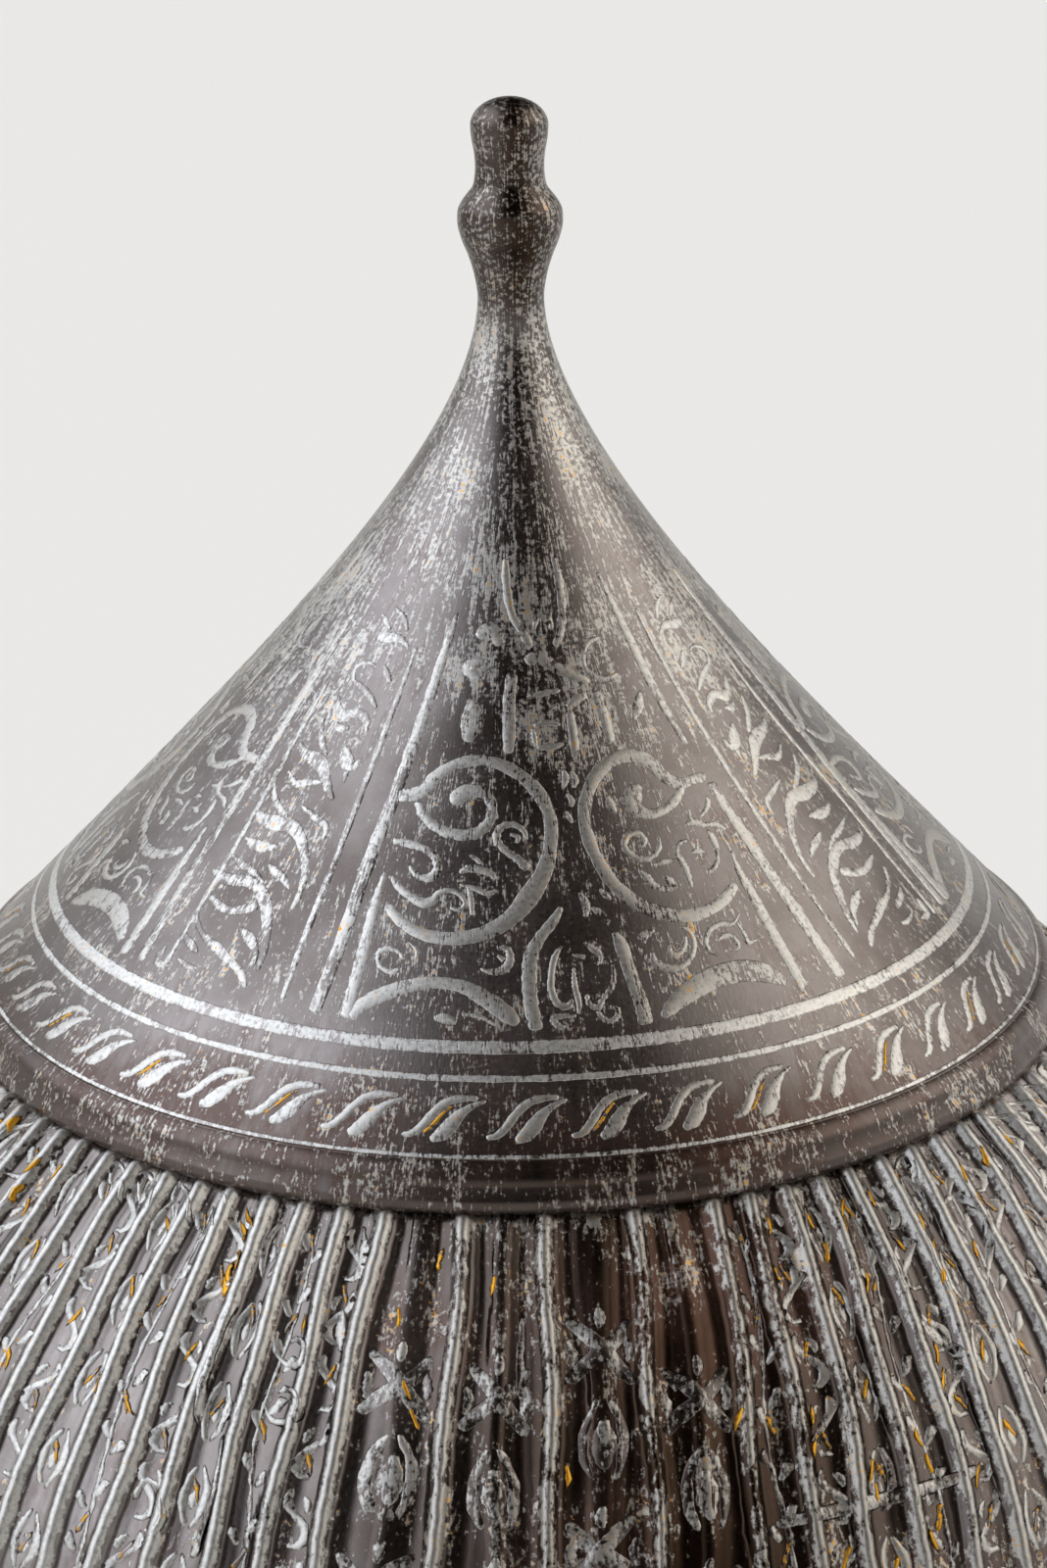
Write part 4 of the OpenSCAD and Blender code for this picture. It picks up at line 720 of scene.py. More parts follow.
def ribbons(name, strokes, middles, surface, rows, silver=0.74, gold=0.0, lift=0.0, relief=1.0, wear=0.0):
    """Strokes laid on a surface round one or more middles (angles in degrees), as one mesh. silver and gold
    are the levels on a ribbon's back, wear is how much of its silver the painted shade takes away, relief
    multiplies its height and lift adds to it. Where the painted shade falls, in four bands round the skull,
    the ribbon is darkened with scale."""
    flat, height = ribbon_plane(strokes, rows)
    height = np.where(height > 0, height * relief, height)
    laid = [surface(flat[..., 0], flat[..., 1], height + lift, middle) for middle in np.radians(middles)]
    angle = np.concatenate([a for _, a in laid])
    slope = np.concatenate([flat[..., 1]] * len(laid))
    # Painted shade: in four bands round the skull, the first in front, a ribbon keeps less silver and gets
    # more scale
    ribbon_shade = painted_shade_bands(angle)
    level = silver * RIBBON_SILVER - wear * ribbon_shade
    grid = np.concatenate([grid for grid, _ in laid])
    return skull_piece(name, grid, np.stack([angle * UV_RADIUS, slope], -1),
                       {"silver": level, "gold": gold * RIBBON_SILVER + 0 * level, "scale": 0.7 * ribbon_shade},
                       weld=0.01)


def on_cone(x, s, height, middle):
    """x mm from the panel's middle line and s mm up the slope of the cone. The angle is x over the radius."""
    angle = middle + x / along(CONE_TABLE, s)[0]
    return placed(angle, *along(CONE_TABLE, s, height)), angle

# %% [markdown]
# The broad panel: each half holds one large scroll of strapwork that opens towards its border, with small
# spirals inside, and below it two curls over an arch. Between the halves stands a palmette, and above them a
# gabled motif. The halves mirror each other only roughly, as on the real one, so each has its own strokes.

# %% Right half of the broad panel
RIGHT_SCROLL = [
    [(20.6, 42.9, 1.5), (18.2, 43.5, 1.6), (15.6, 43.2, 1.8), (13.6, 44.6, 2.0), (11.6, 47.1, 2.1),
     (8.5, 48.0, 2.1), (5.4, 46.4, 2.1), (3.6, 43.4, 2.0), (3.0, 40.0, 1.9), (3.7, 36.3, 1.9),
     (5.2, 32.8, 2.0), (7.6, 29.9, 2.1), (11.0, 27.8, 2.1), (15.0, 27.0, 2.1), (18.8, 27.9, 2.0),
     (22.0, 30.4, 1.9)],
    [(16.2, 43.2, 1.2), (14.8, 41.5, 1.7), (12.8, 40.4, 1.5), (10.7, 40.3, 1.7), (9.2, 41.4, 2.6),
     (9.3, 43.0, 3.2), (10.5, 44.2, 1.0)],
    [(6.1, 43.2, 0.4), (6.4, 42.0, 1.5), (6.9, 41.0, 0.5)],
    [(11.9, 37.4, 0.4), (11.6, 35.7, 0.9), (10.0, 34.8, 1.0), (8.3, 35.4, 1.0), (7.4, 36.8, 1.0),
     (8.2, 38.1, 1.0), (9.6, 37.9, 0.9), (10.0, 36.8, 0.9), (9.1, 36.3, 0.5)],
    [(13.6, 34.0, 0.4), (12.0, 34.1, 1.0), (10.7, 33.8, 0.7)],
    [(8.7, 33.6, 0.3), (9.6, 32.6, 1.2), (10.6, 31.2, 1.1), (12.0, 30.7, 1.0), (13.4, 30.8, 0.8)],
    [(11.7, 32.4, 0.4), (12.5, 31.6, 1.3), (13.2, 30.9, 0.5)],
    [(15.2, 30.2, 0.3), (14.9, 31.8, 1.2), (14.5, 33.4, 1.1), (13.9, 34.8, 1.0), (14.3, 35.9, 0.9),
     (15.6, 36.2, 0.4)],
    [(15.7, 34.6, 0.4), (16.7, 34.6, 1.1), (17.6, 34.3, 0.4)], [(16.7, 35.7, 0.3), (16.6, 34.7, 0.9)],
    [(18.3, 37.0, 0.4), (18.9, 35.9, 1.2), (19.3, 34.5, 1.0), (19.2, 33.1, 1.0), (18.5, 32.1, 1.1),
     (17.4, 31.8, 0.5)],
    [(15.2, 38.0, 0.3), (16.6, 38.3, 1.1), (18.0, 37.6, 0.8), (19.6, 37.4, 0.9), (21.2, 36.3, 0.5)],
    [(16.3, 40.0, 0.3), (16.4, 38.8, 0.9), (16.8, 38.1, 0.4)],
    [(17.6, 38.6, 0.4), (18.6, 39.3, 0.9), (19.2, 40.4, 1.0), (18.9, 41.0, 0.3)],
    [(21.1, 34.0, 0.3), (22.0, 30.8, 1.3), (23.5, 27.0, 1.7), (25.0, 23.0, 1.8), (26.8, 18.5, 1.8),
     (28.2, 14.8, 1.6)],
    [(9.1, 23.6, 0.5), (9.2, 22.2, 1.3), (10.4, 21.3, 1.2), (12.2, 21.1, 1.1), (13.7, 22.1, 1.1),
     (14.3, 23.7, 1.0), (13.8, 25.3, 0.8), (12.7, 26.0, 0.4)],
    [(13.4, 24.8, 0.4), (13.1, 23.6, 1.0), (12.2, 22.7, 0.9), (11.2, 22.9, 0.9), (11.4, 23.8, 0.4)],
    [(21.0, 26.2, 0.3), (19.8, 25.0, 0.8), (18.2, 25.3, 0.9), (16.5, 24.8, 1.0), (15.8, 23.4, 1.0),
     (16.4, 22.1, 0.7), (17.3, 21.6, 0.3)],
    [(17.3, 23.3, 0.4), (18.2, 23.8, 0.9), (19.4, 23.4, 0.9), (20.0, 22.2, 0.8), (19.4, 21.6, 0.4)],
    [(20.2, 25.2, 0.4), (21.0, 23.6, 0.8), (21.4, 22.4, 0.9), (22.8, 22.4, 0.3)],
    [(7.5, 25.2, 0.4), (8.6, 25.6, 1.4), (9.7, 26.0, 0.4)], [(8.3, 24.5, 0.3), (8.7, 25.6, 0.8)],
    [(4.8, 26.6, 0.5), (5.4, 25.0, 1.9), (5.9, 22.5, 2.0), (6.6, 19.0, 2.0), (7.1, 16.4, 2.2),
     (7.2, 14.6, 2.2)],
    [(9.0, 15.2, 1.0), (11.0, 16.9, 2.6), (13.5, 18.3, 3.4), (17.0, 19.2, 3.5), (20.5, 19.1, 3.3),
     (23.5, 18.0, 2.7), (26.0, 16.3, 1.0)],
    [(0.8, 19.3, 0.5), (1.0, 17.9, 0.8), (1.9, 17.4, 0.9), (2.6, 18.4, 0.8), (3.7, 19.6, 0.9),
     (4.2, 21.0, 0.7), (4.2, 22.6, 0.4)],
    [(1.8, 17.1, 0.5), (2.2, 16.2, 0.8), (3.0, 15.7, 0.8), (4.0, 16.2, 0.8), (4.1, 17.1, 0.7),
     (3.2, 17.4, 0.5)],
    [(1.4, 31.6, 0.5), (2.0, 30.0, 1.3), (1.8, 28.4, 0.5)],
    [(2.6, 29.6, 0.4), (3.5, 28.9, 1.2), (4.2, 28.3, 0.4)],
    [(3.8, 31.8, 0.3), (4.4, 31.0, 1.0), (5.0, 30.3, 0.4)], [(3.6, 28.0, 0.4), (4.5, 27.5, 0.9)],
    [(1.2, 25.5, 0.4), (2.1, 24.6, 1.0), (3.0, 23.6, 0.8), (2.7, 22.5, 0.3)],
    [(-0.3, 24.0, 0.4), (1.2, 23.6, 0.8)], [(1.0, 44.8, 0.4), (1.4, 46.0, 1.2), (1.2, 47.0, 0.4)],
    [(2.1, 46.8, 0.4), (2.5, 45.6, 1.1), (2.2, 44.6, 0.4)],
    [(1.3, 44.0, 0.4), (1.8, 43.0, 0.9), (1.6, 42.2, 0.4)],
    [(1.0, 41.8, 0.3), (1.3, 40.9, 0.8), (1.6, 40.2, 0.3)]]

# %% Left half of the broad panel
LEFT_SCROLL = [
    [(-20.2, 43.6, 1.6), (-18.0, 43.4, 2.0), (-15.8, 44.0, 2.0), (-13.6, 46.4, 1.7), (-10.6, 48.1, 1.7),
     (-7.4, 48.4, 1.8), (-4.4, 47.0, 2.0), (-2.2, 44.6, 2.2), (-1.0, 41.5, 2.0), (-1.2, 38.0, 2.0),
     (-2.3, 34.5, 2.4), (-4.3, 31.5, 3.0), (-6.9, 28.6, 2.4), (-10.0, 26.9, 2.1), (-14.0, 26.1, 2.1),
     (-17.6, 26.6, 2.0), (-20.0, 28.2, 1.9), (-21.6, 30.6, 1.8)],
    [(-16.4, 43.2, 1.4), (-15.6, 41.0, 1.7), (-14.0, 39.6, 1.7), (-11.8, 39.0, 1.8), (-9.4, 39.4, 1.7),
     (-8.0, 40.8, 1.5), (-7.5, 42.6, 1.5), (-8.3, 44.3, 1.8), (-10.0, 44.5, 2.3), (-11.6, 43.5, 2.2),
     (-12.2, 42.4, 0.8)],
    [(-3.9, 38.2, 0.4), (-4.2, 39.6, 0.9), (-5.4, 40.4, 1.0), (-6.9, 39.9, 1.1), (-7.4, 38.5, 1.2),
     (-6.6, 37.2, 1.2), (-5.4, 36.2, 1.3), (-4.0, 34.6, 1.5)],
    [(-5.8, 39.2, 0.4), (-4.9, 38.7, 0.8), (-5.2, 38.0, 0.4)],
    [(-20.0, 37.6, 0.8), (-18.3, 37.5, 1.3), (-16.2, 37.1, 1.3), (-14.8, 36.0, 1.4), (-14.6, 34.6, 1.3),
     (-15.8, 33.4, 1.3), (-17.4, 33.8, 1.0), (-18.0, 35.0, 0.6)],
    [(-12.2, 34.2, 0.4), (-11.0, 34.8, 1.2), (-9.4, 34.6, 1.2), (-8.3, 34.0, 1.0), (-8.2, 33.4, 0.4)],
    [(-10.7, 36.5, 0.4), (-10.0, 36.0, 0.8), (-9.5, 35.4, 0.4)],
    [(-12.3, 32.8, 0.3), (-10.6, 32.4, 0.9), (-9.0, 31.8, 0.8), (-8.0, 32.2, 0.5)],
    [(-20.5, 33.6, 0.6), (-19.6, 32.2, 1.4), (-18.4, 31.2, 1.5), (-16.6, 30.3, 1.6), (-15.4, 30.8, 1.2),
     (-14.8, 31.6, 0.9), (-13.2, 32.0, 0.8), (-12.2, 31.4, 0.8), (-11.8, 30.4, 0.7), (-12.6, 29.7, 0.6),
     (-13.9, 30.0, 0.6)],
    [(-11.3, 32.8, 0.4), (-11.1, 31.0, 0.9), (-11.2, 29.0, 0.5)],
    [(-20.9, 34.0, 0.4), (-22.4, 30.0, 1.4), (-23.8, 25.6, 1.8), (-25.4, 20.8, 1.9), (-27.4, 15.0, 1.7)],
    [(-11.0, 22.6, 0.3), (-9.8, 22.2, 0.9), (-8.4, 22.4, 1.2), (-7.4, 23.6, 1.2), (-7.6, 25.0, 1.0),
     (-8.9, 25.1, 0.6)],
    [(-8.8, 24.2, 0.4), (-8.1, 23.6, 1.0)],
    [(-19.6, 23.0, 0.6), (-20.0, 24.0, 0.8), (-21.2, 24.4, 0.9), (-22.6, 23.6, 0.9), (-22.6, 22.3, 0.9),
     (-21.2, 21.6, 0.9), (-20.0, 22.1, 0.6)],
    [(-18.9, 25.4, 0.3), (-18.0, 24.4, 0.7), (-18.2, 23.4, 0.3)],
    [(-0.7, 30.2, 0.6), (-2.0, 28.2, 1.5), (-3.6, 26.4, 1.6), (-5.0, 24.0, 2.0), (-5.5, 21.0, 2.1),
     (-5.6, 18.0, 2.1), (-5.3, 14.8, 1.8)],
    [(-27.0, 15.2, 1.2), (-25.0, 17.3, 1.9), (-22.0, 19.0, 2.1), (-19.0, 20.2, 2.0), (-16.0, 20.7, 1.8),
     (-13.0, 20.3, 2.1), (-10.5, 18.8, 2.7), (-8.4, 17.0, 2.5), (-7.0, 15.6, 1.2)],
    [(-16.8, 16.4, 0.6), (-15.4, 16.4, 1.7), (-14.2, 16.0, 0.6)],
    [(-13.6, 17.0, 0.4), (-11.5, 16.8, 0.7), (-9.8, 15.7, 0.4)],
    [(-12.6, 19.0, 0.4), (-11.4, 19.1, 1.4), (-10.3, 18.4, 0.4)],
    [(-1.2, 25.3, 0.3), (-2.2, 24.0, 0.9), (-2.9, 21.8, 0.9), (-3.1, 19.6, 1.1), (-2.5, 18.1, 1.1),
     (-1.4, 17.8, 1.0), (-0.8, 18.8, 0.6)],
    [(-0.3, 22.6, 0.4), (-0.4, 20.0, 0.9), (-0.2, 17.8, 0.8), (-0.4, 16.7, 0.4)],
    [(-0.6, 16.6, 0.4), (-1.8, 16.7, 0.7), (-3.3, 16.4, 1.0), (-2.8, 15.5, 1.0), (-2.0, 15.3, 0.4)]]

# %% Gabled motif above the scrolls
GABLE = [
    [(-5.1, 48.8, 1.3), (-4.7, 52.0, 1.9), (-4.2, 57.0, 1.8), (-3.5, 60.2, 1.5)],
    [(2.9, 49.0, 1.3), (2.8, 52.0, 1.4), (2.7, 54.6, 1.2)],
    [(7.4, 49.4, 1.2), (6.9, 53.0, 1.6), (6.0, 57.0, 1.4)],
    [(2.4, 54.8, 0.6), (3.6, 55.7, 1.5), (5.0, 56.4, 1.2)],
    [(-2.4, 56.4, 0.6), (-0.2, 56.9, 1.0), (2.0, 57.2, 0.7)],
    [(5.9, 57.6, 0.7), (3.8, 58.8, 1.6), (1.6, 60.1, 1.8), (-0.4, 61.5, 2.2), (-2.4, 60.8, 1.5)],
    [(-0.9, 62.2, 1.2), (-1.9, 64.6, 1.3), (-3.0, 67.0, 1.2), (-3.4, 71.0, 1.3), (-3.2, 75.0, 0.8)],
    [(1.6, 62.2, 1.0), (2.5, 64.5, 1.4), (3.0, 67.0, 1.3), (3.0, 71.0, 1.3), (2.6, 75.0, 0.8)],
    [(-0.7, 64.8, 0.4), (0.2, 66.8, 1.0), (1.4, 66.3, 0.8), (1.5, 64.6, 0.5)],
    [(-1.8, 50.0, 0.6), (0.2, 50.0, 1.1), (1.8, 50.4, 0.5)],
    [(-1.9, 52.7, 0.5), (0.0, 53.1, 1.0), (1.6, 52.7, 0.4)],
    [(-1.9, 52.5, 0.4), (-1.8, 51.2, 0.9), (-1.7, 50.0, 0.4)],
    [(9.8, 58.8, 0.6), (7.7, 58.0, 1.0), (5.4, 59.2, 0.9), (5.0, 61.0, 0.8), (6.0, 63.0, 0.9),
     (8.0, 63.4, 0.8)],
    [(10.5, 52.0, 0.5), (11.5, 54.0, 2.0), (12.0, 56.0, 0.6)],
    [(-10.0, 50.5, 0.8), (-9.0, 53.0, 3.4), (-8.6, 56.5, 1.0)],
    [(-7.6, 64.0, 0.8), (-5.8, 65.0, 3.0), (-4.6, 63.0, 1.0)],
    [(-7.0, 58.5, 0.8), (-8.8, 60.0, 2.2), (-6.4, 61.4, 0.8)]]

# %% [markdown]
# The narrow panel is a row of long leaves that rise to one side, between border lines. A thick line and a
# thin one stand on each side of it, and they lean inwards as the panel narrows. On the other side of the
# broad panel the leaves are the same strokes, mirrored.

# %% Leaves and border lines of the narrow panel
LEAVES = [
    [(-2.2, 16.5, 0.5), (-0.8, 18.0, 1.3), (0.6, 18.9, 1.2), (2.4, 19.6, 1.5), (4.2, 20.4, 1.7),
     (6.2, 20.9, 1.3), (7.8, 21.6, 1.0), (9.4, 22.8, 1.0), (10.3, 24.6, 0.4)],
    [(6.8, 19.1, 0.5), (8.0, 19.6, 1.4), (9.2, 20.0, 1.4), (10.6, 21.0, 0.4)],
    [(5.7, 17.4, 0.5), (7.4, 17.2, 1.0), (9.5, 17.7, 0.4)],
    [(10.3, 16.4, 0.4), (11.8, 16.2, 1.3), (12.9, 16.4, 0.9)],
    [(12.2, 18.6, 0.4), (12.5, 17.2, 1.6), (12.6, 15.8, 0.8)],
    [(-2.5, 18.4, 0.5), (-2.2, 21.0, 1.2), (-1.4, 23.6, 1.6), (-0.2, 26.0, 2.0), (1.2, 27.8, 2.2),
     (3.0, 28.9, 2.0), (5.0, 29.2, 1.8), (7.0, 28.7, 2.0), (9.0, 28.7, 1.6), (11.4, 29.2, 0.5)],
    [(1.2, 26.8, 1.2), (2.8, 26.0, 1.6), (4.2, 25.4, 1.4), (6.0, 25.2, 1.4), (8.0, 25.6, 1.3),
     (9.8, 26.2, 0.5)],
    [(2.0, 29.4, 0.5), (4.0, 30.4, 1.0), (6.4, 30.9, 1.2), (9.4, 31.8, 0.4)],
    [(-1.8, 19.6, 0.4), (-1.0, 21.4, 1.1), (0.4, 22.5, 1.8), (2.8, 23.6, 0.5)],
    [(-1.8, 29.5, 0.4), (-0.4, 30.6, 1.2), (1.4, 31.3, 1.4), (2.9, 32.0, 0.4)],
    [(-3.0, 26.6, 0.6), (-3.3, 29.0, 1.0), (-2.8, 31.6, 1.2), (-1.6, 34.0, 1.5), (0.0, 36.0, 1.9),
     (2.0, 37.2, 2.3), (4.2, 37.0, 2.6), (6.4, 37.0, 2.2), (9.2, 37.7, 0.5)],
    [(2.4, 34.4, 0.5), (4.0, 33.9, 1.6), (6.0, 33.7, 1.8), (8.2, 34.2, 0.4)],
    [(3.0, 38.0, 0.8), (5.0, 39.0, 1.2), (6.6, 40.2, 1.1), (7.6, 41.9, 0.4)],
    [(-3.1, 36.0, 0.4), (-2.7, 38.0, 1.1), (-1.0, 38.8, 1.2), (2.2, 40.0, 0.4)],
    [(-2.2, 41.3, 0.5), (-0.8, 42.6, 1.3), (0.6, 44.2, 1.8), (1.8, 45.4, 2.6), (3.4, 46.0, 2.4),
     (5.0, 46.3, 1.7), (6.8, 47.6, 0.5)],
    [(0.4, 43.4, 0.5), (2.4, 43.0, 1.2), (4.0, 42.4, 1.3), (6.4, 43.7, 0.5)],
    [(1.6, 46.6, 0.8), (3.0, 48.0, 1.2), (4.2, 49.6, 1.1), (4.8, 51.4, 0.5)],
    [(-3.2, 47.4, 0.4), (-2.6, 46.0, 1.6), (-1.6, 46.4, 2.4), (-0.6, 47.8, 1.6), (0.1, 48.8, 0.4)],
    [(-2.3, 43.8, 0.4), (-2.0, 45.4, 1.2)],
    [(-2.3, 50.4, 0.4), (-1.6, 52.0, 1.4), (0.2, 52.8, 1.6), (1.8, 52.0, 2.0), (3.2, 53.0, 1.2),
     (4.0, 54.6, 0.4)],
    [(0.2, 50.8, 0.5), (1.6, 50.4, 1.4), (2.6, 51.0, 0.6)],
    [(-2.4, 53.6, 0.4), (-1.0, 54.8, 1.1), (1.0, 56.0, 1.1), (2.8, 56.8, 0.8), (3.2, 58.4, 0.7),
     (2.0, 59.2, 0.8), (0.2, 59.0, 0.5)],
    [(-2.6, 57.2, 0.5), (-1.6, 58.2, 1.2), (-0.6, 59.4, 0.5)],
    [(-3.0, 62.0, 0.5), (-1.0, 63.0, 1.4), (0.8, 62.8, 1.8), (2.4, 62.8, 1.2)],
    [(-1.8, 64.0, 0.5), (-0.6, 65.6, 1.0), (1.4, 66.8, 0.5)],
    [(0.6, 63.8, 0.6), (2.0, 65.0, 1.0), (2.8, 65.6, 0.4)]]
RIGHT_LINES = [
    [(-9.05, 14.6, 2.2), (-9.0, 28.0, 2.2), (-8.85, 43.0, 2.0)],
    [(-8.7, 47.5, 1.2), (-8.2, 56.0, 1.7), (-7.2, 64.0, 1.5), (-6.4, 72.0, 0.8)],
    [(-5.45, 15.6, 0.9), (-5.4, 34.0, 1.1), (-5.1, 50.0, 1.1), (-4.6, 60.0, 1.0), (-4.0, 67.0, 0.6)],
    [(14.3, 14.8, 0.9), (12.6, 25.0, 1.0), (11.2, 35.0, 1.0), (9.2, 44.0, 1.0), (7.9, 50.0, 0.9),
     (6.8, 58.0, 0.6)],
    [(17.6, 14.6, 1.8), (16.2, 24.0, 2.0), (14.2, 36.0, 2.1), (12.6, 46.0, 2.0), (10.8, 55.0, 1.9),
     (8.5, 64.0, 1.6), (7.0, 70.0, 0.8)]]
LEFT_LINES = [
    [(11.8, 14.6, 2.0), (11.0, 25.0, 2.1), (10.0, 34.0, 2.1), (9.3, 44.0, 2.0), (8.6, 52.0, 1.8),
     (7.8, 60.0, 1.6), (7.0, 68.0, 0.8)],
    [(7.3, 15.6, 0.9), (6.6, 22.0, 1.1), (5.8, 34.0, 1.1), (5.1, 44.0, 1.1), (4.4, 54.0, 1.0),
     (3.8, 63.0, 0.6)],
    [(-11.2, 15.0, 0.9), (-10.2, 22.0, 1.0), (-9.2, 30.0, 1.0), (-8.3, 38.0, 1.0), (-7.6, 46.0, 1.0),
     (-6.6, 56.0, 0.7)],
    [(-15.6, 14.6, 1.7), (-14.4, 25.0, 1.9), (-12.8, 36.0, 1.9), (-11.2, 46.0, 1.9), (-9.6, 55.0, 1.7),
     (-8.2, 62.0, 1.5), (-7.0, 70.0, 0.8)]]


def mirrored(strokes):
    """The same strokes on the other side of the panel's middle."""
    return [[(-x, s, w) for x, s, w in stroke] for stroke in strokes]

# %% Lay the panels
BROAD, NARROW_RIGHT, NARROW_LEFT = [0, 90, 180, 270], [43, 223], [-43, 137]
ribbons("overlay_scrolls", RIGHT_SCROLL + LEFT_SCROLL, BROAD, on_cone, 34)
ribbons("overlay_gables", GABLE, BROAD, on_cone, 14, silver=0.66)
ribbons("overlay_leaves", LEAVES, NARROW_RIGHT, on_cone, 22)
ribbons("overlay_leaves_left", mirrored(LEAVES), NARROW_LEFT, on_cone, 22, silver=0.55)
ribbons("overlay_lines", RIGHT_LINES, NARROW_RIGHT, on_cone, 40)
ribbons("overlay_lines_left", LEFT_LINES, NARROW_LEFT, on_cone, 40, silver=0.62)

# %% [markdown]
# Under the panels run two plain rings and, between them and the edge, a band of slanting leaves. A ring is a
# stroke that closes on itself, so it is turned like the crown. There are forty-four leaves, each a long S
# with a short full one beside it, and every second leaf has a gold fold between the two.

# %% Rings and leaf band
RING_COLUMNS = 480


def ring_band(name, s_low, s_high, silver):
    """A raised band round the cone between two distances up its slope. Its back is flat and its edges are
    sunk, and two sines round the ring make the edges uneven, as those of cut foil are."""
    side = np.linspace(-1, 1, 7)
    s = (s_low + s_high) / 2 + side * (s_high - s_low) / 2
    height = np.interp(np.abs(side), [0, 0.7, 1], [0.05, 0.04, SUNK])
    a = np.arange(RING_COLUMNS) * 2 * np.pi / RING_COLUMNS
    edge = 0.06 * np.sin(a * 61) + 0.05 * np.sin(a * 143 + 1)
    s = s[:, None] + edge[None, :] * side[:, None] ** 3
    grid = placed(a[None, :], *along(CONE_TABLE, s, height[:, None]))
    back = np.broadcast_to(0.55 + 0.45 * (1 - np.abs(side[:, None]) ** 3), s.shape)
    skull_piece(name, grid, np.stack(np.broadcast_arrays((a * UV_RADIUS)[None, :], s), -1),
                {"silver": silver * back, "gold": 0 * back}, along=True)


ring_band("overlay_ring_upper", 12.1, 14.1, 0.74)
ring_band("overlay_ring_middle", 8.9, 9.9, 0.76)
ring_band("overlay_ring_edge", -0.1, 0.6, 0.6)
LEAF_COUNT = 44
LEAF = [
    [(-7.0, 2.5, 0.5), (-5.4, 2.7, 1.0), (-4.2, 3.8, 1.2), (-3.0, 5.4, 1.2), (-1.6, 6.6, 1.2),
     (0.4, 7.1, 1.0), (2.2, 7.0, 0.5)],
    [(-3.6, 2.0, 0.6), (-2.2, 2.7, 1.9), (-1.1, 3.9, 2.2), (-0.1, 5.2, 1.5), (1.4, 6.3, 0.8),
     (3.0, 6.9, 0.4)]]
LEAF_FOLD = [[(-4.4, 2.6, 0.3), (-3.0, 4.0, 0.5), (-1.9, 5.4, 0.4), (-0.8, 6.4, 0.3)]]
leaf_middles = 3.2 + np.arange(LEAF_COUNT) * 360 / LEAF_COUNT
ribbons("overlay_leaf_band", LEAF, leaf_middles, on_cone, 16, silver=0.76)
ribbons("overlay_leaf_gold", LEAF_FOLD, leaf_middles[::2], on_cone, 8, silver=0.1, gold=0.6)

# %% [markdown]
# The channels between the ribs hold ornament too. The narrow ones have a running stem with leaves, a chain
# of curls or a chain of lancets in turn, drawn once and repeated in every third channel. The wide ones, where
# a rib is rubbed down, hold pairs of crossing bars. Some motifs at the top of the ribs stand in one place in
# each quarter. Flecks of gold are left in the folds.

# %% Places in the channels
CHANNEL_R = 75.0            # radius at the channels' narrow top, where their ornament is measured
CHAIN_WIDTH = 1.25          # the strokes of a chain are drawn this much wider, to read from here


def on_channel(x, s, height, middle):
    """x mm from a channel's middle, measured at its narrow top, and s mm down from the shoulder."""
    angle = middle + x / CHANNEL_R
    return fluted(angle, s, height), angle


def on_front(x, s, height, middle):
    """x mm round from the middle of a quarter, in its real place in spite of the ribs' lean."""
    angle = x / along(CREST_TABLE, s)[0]
    angle = middle + angle - lean(angle, s)
    return fluted(angle, s, height), angle


def chain(motif, start, pitch, count):
    """A list of strokes repeated down a channel, every second time mirrored."""
    return [[((-1) ** i * x, start + i * pitch + s, CHAIN_WIDTH * w) for x, s, w in stroke]
            for i in range(count) for stroke in motif]

# %% Motifs of the channels
CURL = [
    [(-0.75, 0.0, 0.5), (-0.95, 2.0, 0.9), (0.0, 3.3, 0.8), (0.9, 4.5, 0.9), (0.75, 6.2, 0.8),
     (-0.1, 6.6, 0.7), (-0.35, 5.6, 0.4)],
    [(0.2, 1.0, 0.3), (0.8, 2.0, 0.8), (0.9, 3.0, 0.3)]]
TWIG = [
    [(0.1, 3.2, 0.4), (-0.7, 1.9, 1.0), (-1.0, 0.4, 0.4)],
    [(0.1, 4.6, 0.3), (0.8, 3.6, 0.9), (1.1, 2.2, 0.3)]]
LANCET = [
    [(0.0, 0.0, 0.4), (-0.85, 2.6, 0.7), (-0.8, 5.6, 0.7), (0.0, 8.0, 0.4)],
    [(0.0, 0.2, 0.4), (0.85, 2.7, 0.7), (0.8, 5.6, 0.7), (0.0, 7.8, 0.4)],
    [(0.0, 3.0, 0.3), (0.05, 4.4, 0.8), (0.0, 5.6, 0.3)]]
STEM = [[(0.45 * math.sin(0.9 * i), 2.5 + 4.5 * i, 0.6) for i in range(18)]]
CROSSING = [
    [(-3.7, 8.8, 1.0), (-1.2, 6.3, 1.7), (1.4, 4.3, 1.6), (3.3, 1.4, 0.8)],
    [(-3.3, 1.2, 0.8), (-1.0, 3.5, 1.6), (1.2, 6.4, 1.7), (3.4, 9.4, 1.0)],
    [(-3.1, 3.6, 0.4), (-2.7, 5.2, 1.0), (-2.9, 7.0, 0.4)],
    [(2.5, 3.4, 0.4), (2.9, 5.2, 1.0), (2.7, 6.8, 0.4)],
    [(0.0, 0.2, 0.4), (0.1, 1.6, 1.1), (0.0, 2.8, 0.4)],
    [(-0.2, 10.0, 0.5), (-1.6, 13.0, 1.0), (-1.7, 17.0, 1.0), (-0.9, 19.4, 0.4)],
    [(0.2, 10.0, 0.5), (1.6, 13.2, 1.0), (1.6, 17.0, 1.0), (0.9, 19.6, 0.4)],
    [(0.1, 12.4, 0.4), (0.0, 15.4, 2.3), (0.1, 18.4, 0.5)]]
ARCHES = [[(c - 1.0, 6.4, 0.5), (c - 1.2, 3.6, 0.8), (c, 1.8, 0.9), (c + 1.2, 3.6, 0.8), (c + 1.0, 6.4, 0.5)]
          for c in (-59.5, -55.0, -50.0, -44.0, 38.0)]
